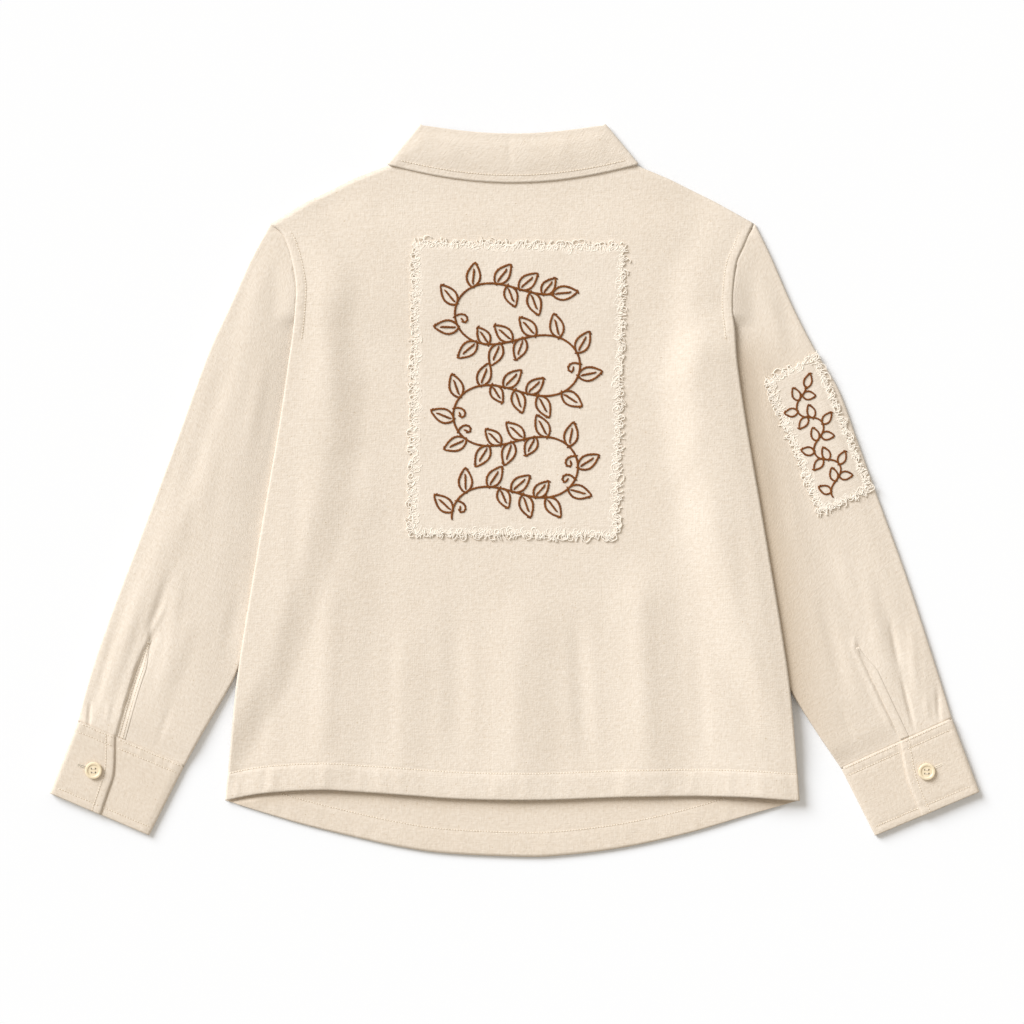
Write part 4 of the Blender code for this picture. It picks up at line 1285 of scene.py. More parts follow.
def cuff_ripple(cuff, share, distance, height):
    """Draw the band down at its stitch rows, with small puckers between the upper two."""
    dips = sum(0.8 * stitch_dip(distance - row) for row in (SEAM_STITCH, *CUFF_STITCHES))
    chance = noise.noise(Vector((share * 34.0, 0.5 * (cuff.name == "left"), 3.0)))
    puckers = 0.5 * chance * ease((PUCKER_REACH - distance) / 12.0)
    roll = EDGE_ROLL * (1.0 - ease((height - distance) / EDGE_ROLL_WIDTH))
    return dips + puckers + 0.6 * breath(share * 110.0, distance, 15.0) - roll


def flap_height(cuff, down, share):
    """Give the height of the buttoned end's upper side."""
    outer, inner = cuff_frame(cuff, down)
    length = math.dist(outer, inner)
    to_edge = (flap_share(cuff, down) - share) * length
    height = cuff_height_of(cuff)
    lift = 0.5 * stitch_dip(to_edge - FLAP_STITCH)
    lift -= 2.0 * EDGE_ROLL * (1.0 - ease(to_edge / EDGE_ROLL_WIDTH))
    lift += ease(share * length / 8.0) * cuff_ripple(cuff, share, down * height, height)
    from_button = math.dist(mix(outer, inner, share), BUTTON_PLACES[cuff.name])
    return FLAP_TOP + lift - BUTTON_DIP * math.exp(-(from_button / BUTTON_DIP_REACH) ** 2)


def flap_top_at(cuff, x, y):
    """Give the height of the buttoned end's upper side at a plan point."""
    outer, inner = cuff_frame(cuff, 0.0)
    along = unit(outer, inner)
    away = (x - outer[0], y - outer[1])
    down = abs(away[0] * along[1] - away[1] * along[0]) / cuff_height_of(cuff)
    outer, inner = cuff_frame(cuff, down)
    share = math.dist((x, y), outer) / math.dist(outer, inner)
    return flap_height(cuff, down, share)


print("a cuff is", round(cuff_height_of(CUFFS["left"]), 1), "mm from seam to edge")

# %% One row of points round a cuff
CUFF_FINE = 44
CUFF_HALF = CUFF_FINE // 2
SEAM_COVER = 1.5
SEAM_COVER_REACH = 6.0
LOW_RISE = 0.8


def cuff_row(cuff, down):
    """List the points once round the cuff, from its covered end to its buttoned one."""
    outer, inner = cuff_frame(cuff, down)
    height = cuff_height_of(cuff)
    distance = down * height
    length = math.dist(outer, inner)
    out = unit(inner, outer)
    flap = flap_share(cuff, down)
    flap_radius = 0.5 * CUFF_FLAP_TOP
    low_radius = 0.5 * CUFF_LOW_TOP
    flap_room = flap_radius / length
    low_room = low_radius / length
    cover = -SIGN[cuff.name] * SEAM_COVER * (1.0 - ease(distance / SEAM_COVER_REACH))
    over = (out[1] * cover, -out[0] * cover)
    points = []

    def add_top(share, z):
        """Add a point of an upper side, drawn up over the sleeve's end."""
        x, y = mix(outer, inner, share)
        points.append((x + over[0], y + over[1], z))

    for step in even_shares(CUFF_FINE):
        share = mix(flap - CUFF_OVERLAP, 1.0 - low_room, step)
        past_flap = ease((share - flap) * length / 2.0)
        under = LOW_RISE + past_flap * cuff_ripple(cuff, share, distance, height)
        add_top(share, CUFF_LOW_TOP + ease((1.0 - share) * length / 8.0) * under)
    inward = (-out[0], -out[1])
    points += round_fold(mix(outer, inner, 1.0 - low_room), inward, low_radius, low_radius, 1.0)
    for step in even_shares(CUFF_HALF):
        points.append((*mix(outer, inner, mix(1.0 - low_room, flap_room, step)), 0.0))
    points += round_fold(mix(outer, inner, flap_room), out, flap_radius, flap_radius, -1.0)
    for step in even_shares(CUFF_HALF):
        share = mix(flap_room, flap, step)
        add_top(share, flap_height(cuff, down, share))
    return points


print("a row of the cuff has", len(cuff_row(CUFFS["left"], 0.5)), "points")

# %% Wrap both cuffs
CUFF_SHELL = 1.4
CUFF_STOPS = (1.1, 9.0, 69.0)


def lay_cuff(cuff):
    """Wrap one cuff."""
    height = cuff_height_of(cuff)
    places = places_along(height - LAYER_GAP, 2.6, 1.2, [*CUFF_STOPS, height], 6.0)
    rows = [cuff_row(cuff, (LAYER_GAP + place) / height) for place in places]
    weave = [[(length, place) for length in lengths_round(row)] for place, row in zip(places, rows)]
    # The cuff takes the darker canvas copy, which is painted shade.
    piece = cloth("cuff_%s_cloth" % cuff.name, rows, weave, painted_shade_canvas, CUFF_SHELL,
                  flip=cuff.name == "right")
    return dress(piece, "canvas", "cuff_" + cuff.name)


cuffs = {name: lay_cuff(cuff) for name, cuff in CUFFS.items()}

# %% [markdown]
# ## The collar
#
# The collar is folded over its stand. Seen from behind, its fall comes over the
# fold line and down onto the back, and both layers turn under the neck at the
# sides and run to the hidden front. A station is a place along the collar, and
# each row of the mesh keeps its distance from the fold at every station.

# %% Stations along the collar
COLLAR_BACK_STEPS = 84
COLLAR_SIDE_STEPS = 10
COLLAR_FRONT_STEPS = 26


def collar_stations():
    """List where the collar is read: from one front end, round a side, across and back."""
    fronts = even_shares(COLLAR_FRONT_STEPS)[1:]
    sides = even_shares(COLLAR_SIDE_STEPS)
    stations = [("front", "left", share) for share in fronts[::-1]]
    stations += [("side", "left", share) for share in sides]
    stations += [("back", "both", share) for share in even_shares(COLLAR_BACK_STEPS)[1:-1]]
    stations += [("side", "right", share) for share in sides[::-1]]
    return stations + [("front", "right", share) for share in fronts]


stations = collar_stations()
print("the collar is read at", len(stations), "stations")

# %% Points of the collar
def collar_line(station, corner, drop, front):
    """Give the plan point of one line of the collar at a station, before the sides round."""
    part, side, share = station
    if part == "back":
        bow = 1.0 - (2.0 * share - 1.0) ** 2
        x, y = mix(corner, mirrored(corner), share)
        return (x, y - drop * bow)
    point = corner
    if part == "front":
        point = curve_of_three(corner, front[0], front[1], share)
    return point if side == "left" else mirrored(point)


def collar_closeness(part, share):
    """Give how fully the collar is rounded inwards at a station."""
    if part == "side":
        return 1.0
    if part == "front":
        return (1.0 - share) ** FRONT_CLOSENESS
    return max(share, 1.0 - share) ** BACK_CLOSENESS


def collar_point(station, line_low, reach, radius):
    """Give a point of the collar: its plan from two lines, its height from its layer."""
    part, side, share = station
    fold = collar_line(station, FOLD_CORNER, FOLD_DIP, FOLD_FRONT)
    low = collar_line(station, *line_low)
    length = math.dist(fold, low)
    x, y = mix(fold, low, reach(length) / length)
    corner_run = unit(FOLD_CORNER, LEAF_CORNER)
    from_left = side == "left" or (part == "back" and share < 0.5)
    toward = -corner_run[1] if from_left else corner_run[1]
    shift = LEAF_RADIUS * collar_closeness(part, share)
    height = COLLAR_MID
    if part == "side":
        angle = math.pi * (share - 0.5)
        shift -= radius * math.cos(angle)
        height += radius * math.sin(angle)
    else:
        height += radius if part == "back" else -radius
    return (x + toward * shift, y + corner_run[0] * shift, height)


print("the fold lies", round(math.dist(FOLD_CORNER, mirrored(FOLD_CORNER)), 1), "mm wide")

# %% Fold the collar over its stand
COLLAR_EDGE_STITCH = 8.0
COLLAR_CLEAR = 0.35
COLLAR_END_CALM = 0.06
COLLAR_LOFT = 1.1
COLLAR_CREASES = table(FOLD_COLUMNS, [
    (-6.0, 362.0, -4.0, 312.0, 4.0, -0.5),
    (-60.0, 358.0, -66.0, 318.0, 16.0, 0.5),
    (46.0, 360.0, 52.0, 316.0, 15.0, 0.45),
    (90.0, 362.0, 98.0, 326.0, 9.0, -0.4),
])


def fall_profile(share):
    """Give the fall's reach past the fold, its rest and its layer, from inner lip to free edge."""
    turn_radius = 0.5 * (LEAF_RADIUS + LIP_RADIUS)
    if share <= 0.0:
        return mix(FOLD_TURN, LIP, -share), 0.0, LIP_RADIUS
    if share <= 1.0:
        angle = math.pi * share
        half = 0.5 * (LEAF_RADIUS - LIP_RADIUS)
        return FOLD_TURN * (1.0 - math.sin(angle)), 0.0, turn_radius - half * math.cos(angle)
    return FOLD_TURN, share - 1.0, LEAF_RADIUS


def fall_point(station, share):
    """Give a point of the collar's fall."""
    start, rest, radius = fall_profile(share)
    lengths = []

    def reach(length):
        """Keep the length at this station, and give how far along it the point is."""
        lengths.append(length)
        return mix(start, length, rest)

    x, y, z = collar_point(station, (LEAF_CORNER, LEAF_DROP, LEAF_FRONT), reach, radius)
    if station[0] == "back" and rest > 0.0:
        to_edge = (1.0 - rest) * (lengths[0] - start)
        ends = ease(min(station[2], 1.0 - station[2]) / COLLAR_END_CALM)
        z += LEAF_RISE * rest ** 2 + ends * fold_height(COLLAR_CREASES, x, y)
        loft = COLLAR_LOFT * ease(rest / 0.3) * ease((1.0 - rest) / 0.3)
        z += ends * (loft + breath(x, y, 21.0))
        z += ends * (stitch_dip(to_edge - COLLAR_EDGE_STITCH) + 0.3 * ease((10.0 - to_edge) / 3.0))
        z -= EDGE_ROLL * (1.0 - ease(to_edge / EDGE_ROLL_WIDTH))
        pressed = back_height(x, y) + SHELL + COLLAR_CLEAR
        z = mix(z, min(z, pressed), ends * ease((rest - 0.4) / 0.6))
    return x, y, z


def weave_of(rows, apart):
    """Let the weave run along each row, the rows being a distance apart."""
    return [[(length, -number * apart) for length in lengths_round(row)]
            for number, row in enumerate(rows)]


shares = [-1.0, -0.5, *even_shares(8), *[1.0 + share for share in even_shares(26)[1:]]]
rows = [[fall_point(station, share) for station in stations] for share in shares]
collar_cloth = cloth("collar_fall_cloth", rows, weave_of(rows, 1.7), body_canvas)
dress(collar_cloth, "canvas", "collar_fall")

# %% The stand inside the fold
STAND_LINE = (NECK_CORNER, NECK_DROP, NECK_FRONT)


def stand_point(station, share):
    """Give a point of the stand."""
    return collar_point(station, STAND_LINE, lambda length: mix(STAND_START, length, share),
                        STAND_RADIUS)


rows = [[stand_point(station, share) for station in stations] for share in even_shares(8)]
collar_stand = cloth("collar_stand_cloth", rows, weave_of(rows, 3.0), body_canvas)
dress(collar_stand, "canvas", "collar_stand")

# %% [markdown]
# ## The patches
#
# Each patch is a raw-edged rectangle of canvas laid on its carrier. Its sheet is
# made from the carrier's own surface, moved out, so it follows every fold below.

# %% Places on a patch
PATCH_PRESS = 0.5


def patch_corner(patch, inset, across, down):
    """Give a corner of the patch, moved in from the frayed outside by the inset."""
    top = mix(patch.top_left, patch.top_right, 0.5)
    low = mix(patch.low_left, patch.low_right, 0.5)
    height = math.dist(top, low)
    width = math.dist(patch.top_left, patch.top_right)
    across = mix(inset / width, 1.0 - inset / width, across)
    down = mix(inset / height, 1.0 - inset / height, down)
    return mix(mix(patch.top_left, patch.top_right, across),
               mix(patch.low_left, patch.low_right, across), down)


def patch_size(patch):
    """Measure a patch with its fray, across and down."""
    return math.dist(patch.top_left, patch.top_right), math.dist(patch.top_left, patch.low_left)


def carrier_height(name, x, y):
    """Give the height of the cloth that a patch lies on."""
    return back_height(x, y) if name == "back" else sleeve_height("right", x, y)


def patch_height(name, x, y):
    """Give the height of a patch's upper side."""
    return carrier_height(name, x, y) + LAY_GAP + CLOTH - PATCH_PRESS + 0.8 * breath(x, y, 31.0)


print("the back patch lies", round(patch_height("back", 0.0, 100.0), 2), "mm above the table")

# %% Lay the patches on the cloth that carries them
PATCH_COARSE = 3.0
PATCH_FINE = 1.2
PATCH_SHELL = 0.9
RAW_EDGE = 4.5
FRINGE_DEEP = 10.0
FRINGE_DROP = 0.35
FRINGE_STEP = 2.0


def lay_patch(patch):
    """Lay one patch, thinned towards its raw edge."""
    sizes = [size - 2.0 * RAW_EDGE for size in patch_size(patch)]
    across_places, down_places = [places_along(size, PATCH_COARSE, PATCH_FINE, [0.0, size], 8.0)
                                  for size in sizes]
    rows = []
    for down in down_places:
        row = []
        for across in across_places:
            shares = (across / across_places[-1], down / down_places[-1])
            x, y = patch_corner(patch, RAW_EDGE, *shares)
            from_edge = min(across, down, across_places[-1] - across, down_places[-1] - down)
            past_fringe = from_edge + RAW_EDGE - FRINGE_DEEP
            thin = FRINGE_DROP * (1.0 - ease((past_fringe + FRINGE_STEP) / FRINGE_STEP))
            row.append((x, y, patch_height(patch.name, x, y) - thin))
        rows.append(row)
    weave = [[(across, -down) for across in across_places] for down in down_places]
    piece = cloth(patch.name + "_patch_cloth", rows, weave, patch_canvas, PATCH_SHELL)
    return dress(piece, "patch_canvas", patch.name + "_patch")


patches = {name: lay_patch(patch) for name, patch in PATCHES.items()}

# %% [markdown]
# ## The plackets
#
# A placket binds the slit above each cuff with a narrow strip. Its edge at the
# slit stands a little proud and its far edge is pressed flat into the sleeve.

# %% Bind the sleeve slits
PLACKET_SHELL = 0.6
PLACKET_LIFT = 0.42
PLACKET_SINK = 0.15
PLACKET_TAPER = 0.32
PLACKET_NARROW = 0.35
PLACKET_START = 0.2
PLACKET_FLAT_FROM = 0.78
PLACKET_ROWS = 46
PLACKET_COLUMNS = 10


def placket_point(placket, share, across):
    """Give a point of the placket's strip by its share along the slit and across the strip."""
    x, y = slit_line(placket.name)(share)
    wide = PLACKET_WIDTH * across * mix(PLACKET_NARROW, 1.0, ease(share / PLACKET_TAPER))
    x += placket.x_beside * wide
    y += placket.y_beside * wide
    far = (across - PLACKET_FLAT_FROM) / (1.0 - PLACKET_FLAT_FROM)
    proud = mix(PLACKET_LIFT, PLACKET_SINK, ease(far))
    return x, y, sleeve_height(placket.name, x, y) + proud


def lay_placket(placket):
    """Lay one placket."""
    rows = []
    weave = []
    for row, down in enumerate(even_shares(PLACKET_ROWS)):
        rows.append([placket_point(placket, down, mix(PLACKET_START, 1.0, across))
                     for across in even_shares(PLACKET_COLUMNS)])
        weave.append([(column * 1.1, -row * 2.2) for column in range(PLACKET_COLUMNS + 1)])
    piece = cloth("placket_%s_cloth" % placket.name, rows, weave, body_canvas, PLACKET_SHELL)
    return dress(piece, "canvas", "placket_" + placket.name)


plackets = {name: lay_placket(placket) for name, placket in PLACKETS.items()}

# %% Measure the steps at the seams
SEAM_LOOK = 200.0
for side in SIDES:
    at_cuff = mix(*cuff_frame(CUFFS[side], 0.0), 0.75)
    edge_x = side_x(side, SEAM_LOOK)
    print(side, "cuff seam: sleeve", round(sleeve_height(side, *at_cuff), 2),
          "cuff", round(CUFF_LOW_TOP + LOW_RISE, 2), "buttoned end", round(FLAP_TOP, 2))
    print(side, "armhole: sleeve", round(sleeve_height(side, edge_x + SIGN[side], SEAM_LOOK), 2),
          "back", round(back_height(edge_x, SEAM_LOOK), 2))

# %% [markdown]
# ## Recipes for thread and yarn
#
# Stitches, stem stitch embroidery and frayed yarns all repeat along a path, so
# Geometry Nodes make them. A recipe is a tree with named inputs. Its source is a
# mesh of plain edges, the path, and its result is made a plain mesh at once.

# %% A recipe in Geometry Nodes
class Recipe(Tree):
    """A Geometry Nodes tree with named sizes and a fixed seed."""

    def __init__(self, name, **sizes):
        super().__init__(bpy.data.node_groups.new(name, "GeometryNodeTree"))
        face = self.nodes.interface
        face.new_socket("Geometry", in_out="INPUT", socket_type="NodeSocketGeometry")
        face.new_socket("Geometry", in_out="OUTPUT", socket_type="NodeSocketGeometry")
        self.sockets = {}
        for size, usual in sizes.items():
            kind = "NodeSocketInt" if size == "Seed" else "NodeSocketFloat"
            socket = face.new_socket(size, in_out="INPUT", socket_type=kind)
            socket.default_value = usual
            self.sockets[size] = socket.identifier
        self.given = self.node("NodeGroupInput")

    def ask(self, name):
        """Give one of the recipe's inputs."""
        return self.given.output(name)

    def chance(self, low, high, salt):
        """Give a random number for each point, between two values."""
        sockets = {2: low, 3: high, 8: self.ask("Seed") + salt}
        return self.node("FunctionNodeRandomValue", {"data_type": "FLOAT"}, sockets, 1)

    def vector(self, x, y, z):
        """Join three numbers into a vector."""
        return self.node("ShaderNodeCombineXYZ", {}, {0: x, 1: y, 2: z})

    def scaled(self, vector, share):
        """Scale a vector."""
        sockets = {0: vector, "Scale": share}
        return self.node("ShaderNodeVectorMath", {"operation": "SCALE"}, sockets)

    def path(self):
        """Turn the source's edges into curves."""
        return self.node("GeometryNodeMeshToCurve", {}, {"Mesh": self.ask("Geometry")})

    def spaced(self, curve, step):
        """Divide curves into even steps of a given length."""
        sockets = {"Curve": curve, "Length": step}
        return self.node("GeometryNodeResampleCurve", {"mode": "LENGTH"}, sockets)

    def along(self):
        """Give the direction of the path at each point."""
        return self.node("GeometryNodeInputTangent")

    def turned(self, angles):
        """Turn three angles into a rotation."""
        return self.node("FunctionNodeEulerToRotation", {}, {0: angles})

    def facing(self, turn):
        """Turn each piece along its path, and then a little about the upright."""
        laid = self.node("FunctionNodeAlignRotationToVector", {"axis": "X", "pivot_axis": "Z"},
                         {"Vector": self.along()})
        about = self.turned(self.vector(0.0, 0.0, turn))
        return self.node("FunctionNodeRotateRotation", {"rotation_space": "LOCAL"},
                         {"Rotation": laid, "Rotate By": about})

    def lay(self, points, shape, rotation, scale):
        """Lay a copy of a shape on each point."""
        sockets = {"Points": points, "Instance": shape, "Rotation": rotation, "Scale": scale}
        return self.node("GeometryNodeInstanceOnPoints", {}, sockets)

    def moved(self, geometry, offset):
        """Move each point by an offset."""
        sockets = {"Geometry": geometry, "Offset": offset}
        return self.node("GeometryNodeSetPosition", {}, sockets)

    def tubes(self, curves, radius):
        """Give curves a round section with six sides."""
        sockets = {"Resolution": 6, "Radius": radius}
        section = self.node("GeometryNodeCurvePrimitiveCircle", {}, sockets)
        return self.node("GeometryNodeCurveToMesh", {},
                         {"Curve": curves, "Profile Curve": section, "Fill Caps": True})

    def realized(self, instances):
        """Turn copies into real geometry."""
        return self.node("GeometryNodeRealizeInstances", {}, {"Geometry": instances})

    def toned(self, instances, salt):
        """Store a tone of its own on each copy."""
        settings = {"data_type": "FLOAT", "domain": "INSTANCE"}
        sockets = {"Geometry": instances, "Name": "tone", "Value": self.chance(0.0, 1.0, salt)}
        return self.node("GeometryNodeStoreNamedAttribute", settings, sockets)

    def finished(self, geometry, material):
        """Make the geometry real and smooth, and give it its material."""
        real = self.realized(geometry)
        smooth = self.node("GeometryNodeSetShadeSmooth", {}, {"Geometry": real})
        return self.node("GeometryNodeSetMaterial", {}, {"Geometry": smooth, "Material": material})

    def serve(self, *parts):
        """Join the finished parts into the recipe's result."""
        joined = self.node("GeometryNodeJoinGeometry")
        for part in parts:
            self.nodes.links.new(part.socket, joined.socket.node.inputs[0])
        self.node("NodeGroupOutput")
        self.nodes.links.new(joined.socket, self.nodes.nodes[-1].inputs[0])
        print(self.nodes.name, "is a recipe of", len(self.nodes.nodes), "nodes")

    def make(self, name, paths, **sizes):
        """Follow the paths, given in millimetres, and return a plain mesh object."""
        edges = []
        first = 0
        for line in paths:
            edges += [(first + step, first + step + 1) for step in range(len(line) - 1)]
            first += len(line)
        source = bpy.data.meshes.new(name + "_path")
        source.from_pydata(in_metres(paths), edges, [])
        maker = put_in_scene(name + "_path", source)
        modifier = maker.modifiers.new("recipe", "NODES")
        modifier.node_group = self.nodes
        for size, value in sizes.items():
            modifier[self.sockets[size]] = value
        evaluated = maker.evaluated_get(bpy.context.evaluated_depsgraph_get())
        mesh = bpy.data.meshes.new_from_object(evaluated)
        mesh.name = name
        maker.modifiers.remove(modifier)
        bpy.data.objects.remove(maker, do_unlink=True)
        print(name, "follows", len(paths), "paths with", len(mesh.polygons), "faces")
        return put_in_scene(name, mesh)

# %% [markdown]
# ### Thread and yarn
#
# Thread is smoother and a little glossier than canvas. Each embroidery stitch
# takes its own tone from a number that the recipe stores on it.

# %% Thread and yarn finishes
YARN_SHEEN = 0.12
YARN_SHEEN_TONE = (1.0, 0.9, 0.78, 1.0)


def yarn_finish(name, pale, deep, roughness, grain_mm, depth, fluffy=False):
    """Make a finish that is broken up finely along all directions."""
    finish = Finish(name, roughness, 0.15, YARN_SHEEN if fluffy else 0.1)
    spot = finish.node("ShaderNodeTexCoord", {}, {}, "Object")
    sockets = {"Vector": spot, "Scale": CLOTH_TO_MM / grain_mm, "Detail": 2.0}
    fine = finish.node("ShaderNodeTexNoise", {}, sockets)
    own = finish.node("ShaderNodeAttribute", {"attribute_name": "tone"}, {}, "Fac")
    share = finish.node("ShaderNodeClamp", {}, {0: (fine - 0.5) * 1.4 + own * 0.5 + 0.25})
    finish.feed("Base Color", finish.blend(share, deep, pale))
    finish.bump(fine, depth)
    if fluffy:
        finish.feed("Sheen Tint", YARN_SHEEN_TONE)
    print("made", name)
    return finish.material


sewing_thread = yarn_finish("sewing thread", (0.96, 0.90, 0.79, 1.0), (0.90, 0.82, 0.69, 1.0),
                            0.7, 0.6, 0.05)
# Painted shade: a dark brown for the beads in the needle pits, standing for the pits' shadow.
painted_pit_shade = yarn_finish("needle hole", (0.64, 0.50, 0.35, 1.0), (0.54, 0.41, 0.27, 1.0),
                          0.95, 0.6, 0.02)
loose_yarn = yarn_finish("loose yarn", (0.94, 0.88, 0.79, 1.0), (0.92, 0.855, 0.76, 1.0),
                         0.95, 0.9, 0.05, True)
brown_thread = yarn_finish("brown thread", (0.25, 0.084, 0.012, 1.0), (0.13, 0.036, 0.004, 1.0),
                           0.7, 0.5, 0.12)

# %% [markdown]
# ### Topstitching
#
# A sewing machine lays short threads end to end, and the needle leaves a small
# pit between each two. The recipe lays a slim bead for each thread, and a flat
# dark bead in each pit, painted shade for the pit's shadow.

# %% The topstitch recipe
STITCH_PITCH = 2.8
THREAD_LIFT = 0.2


def topstitch_recipe():
    """Lay short threads end to end along paths, with a dark bead of painted shade in the pit
    between each two.
    """
    recipe = Recipe("topstitch", Pitch=STITCH_PITCH * MM, Length=2.0 * MM, Width=0.8 * MM,
                    Seed=1)
    spots = recipe.spaced(recipe.path(), recipe.ask("Pitch"))
    bead = recipe.node("GeometryNodeMeshIcoSphere", {}, {"Radius": 0.5, "Subdivisions": 1})
    facing = recipe.facing(recipe.chance(-0.09, 0.09, 1))
    length = recipe.ask("Length") * recipe.chance(0.85, 1.12, 2)
    width = recipe.ask("Width")
    threads = recipe.lay(spots, bead, facing, recipe.vector(length, width, width * 0.8))
    half_pitch = recipe.scaled(recipe.along(), recipe.ask("Pitch") * 0.5)
    # Painted shade: a flat dark bead in each needle pit stands for its shadow.
    pit = recipe.vector(width * 1.05, width * 0.95, width * 0.7)
    pit_shades = recipe.lay(recipe.moved(spots, half_pitch), bead, facing, pit)
    recipe.serve(recipe.finished(recipe.toned(threads, 5), sewing_thread),
                 recipe.finished(recipe.toned(pit_shades, 6), painted_pit_shade))
    return recipe


topstitch = topstitch_recipe()

# %% Lines laid on the cloth
SEAM_STITCH_ENDS = (258.0, 153.0)
STITCH_LOOK = 4.0
STITCH_INSET = 2.0


def raised(line, lift=THREAD_LIFT):
    """Lift a line of points off the cloth."""
    return [(x, y, z + lift) for x, y, z in line]


def line_on(height_of, points):
    """Give plan points their height on a piece."""
    return raised([(x, y, height_of(x, y)) for x, y in points])


def steps(start, end, step):
    """List numbers from start to end, about a step apart."""
    count = max(2, round(abs(end - start) / step))
    return [mix(start, end, share) for share in even_shares(count)]


print("a line of 10 mm is read at", len(steps(0.0, 10.0, STITCH_LOOK)), "places")

# %% The rows of topstitching
def back_rows():
    """List the back's hem stitch and its armhole stitches."""
    hem = []
    for x in steps(BACK_HEM[0].x + 1.5, BACK_HEM[-1].x - 1.5, STITCH_LOOK):
        y = back_hem_y(x) + HEM_DEEP
        if side_x("left", y) + 1.0 < x < side_x("right", y) - 1.0:
            hem.append((x, y))
    rows = [line_on(back_height, hem)]
    for side in SIDES:
        inward = -SIGN[side] * SEAM_BAND
        seam = [(side_x(side, y) + inward, y) for y in steps(*SEAM_STITCH_ENDS, STITCH_LOOK)]
        rows.append(line_on(back_height, seam))
    return rows


def front_rows():
    """List the front tail's hem stitch, as far as it shows."""
    hem = []
    for x in steps(FRONT_HEM[0].x, FRONT_HEM[-1].x, STITCH_LOOK):
        y = front_hem_y(x) + FRONT_HEM_DEEP
        if y < back_hem_y(x) - 1.5:
            hem.append((x, y))
    return [line_on(lambda x, y: front_height(x, y) + SHELL, hem)]


def collar_rows():
    """List the stitch along the collar's free edge."""
    leaf_length = math.dist(FOLD_CORNER, LEAF_CORNER)
    share = 2.0 - COLLAR_EDGE_STITCH / leaf_length
    line = [fall_point(station, share) for station in stations if station[0] == "back"]
    return [raised(line[2:-2])]


def cuff_rows(cuff):
    """List a cuff's stitch rows: along the seam, along both edges, and beside the buttoned end."""
    height = cuff_height_of(cuff)
    hidden = round(CUFF_FINE * CUFF_OVERLAP / (1.0 + CUFF_OVERLAP - flap_share(cuff, 0.5))) + 1
    rows = []
    for distance in (STITCH_INSET, *CUFF_STITCHES):
        row = cuff_row(cuff, distance / height)
        rows.append(raised(row[hidden:CUFF_FINE - 1]))
        rows.append(raised(row[1 - CUFF_HALF:-3]))
    beside = []
    for distance in steps(STITCH_INSET, height - STITCH_INSET, STITCH_LOOK):
        down = distance / height
        outer, inner = cuff_frame(cuff, down)
        share = flap_share(cuff, down) - FLAP_STITCH / math.dist(outer, inner)
        beside.append((*mix(outer, inner, share), flap_height(cuff, down, share)))
    rows.append(raised(beside))
    return rows


def placket_rows(placket):
    """List the two stitch rows along a placket."""
    return [raised([placket_point(placket, share, across) for share in steps(0.03, 0.98, 0.04)])
            for across in (0.36, 0.7)]


sewn = {
    "back": topstitch.make("back_topstitch", back_rows()),
    "front": topstitch.make("front_topstitch", front_rows(), Seed=2),
    "collar": topstitch.make("collar_topstitch", collar_rows(), Seed=3),
}
for side in SIDES:
    rows = cuff_rows(CUFFS[side])
    sewn["cuff_" + side] = topstitch.make("cuff_%s_topstitch" % side, rows, Seed=4)
rows = placket_rows(PLACKETS["left"])
sewn["placket_left"] = topstitch.make("placket_left_topstitch", rows, Seed=5)
for piece in sewn.values():
    dress(piece, "canvas")

# %% [markdown]
# ### Frayed edges
#
# Where canvas is cut raw and washed, the yarns that run along the edge fall
# away and those that cross it curl up. The recipe lays wavy yarn ends across
# the edge and loose curls among them, then shakes every yarn with noise.

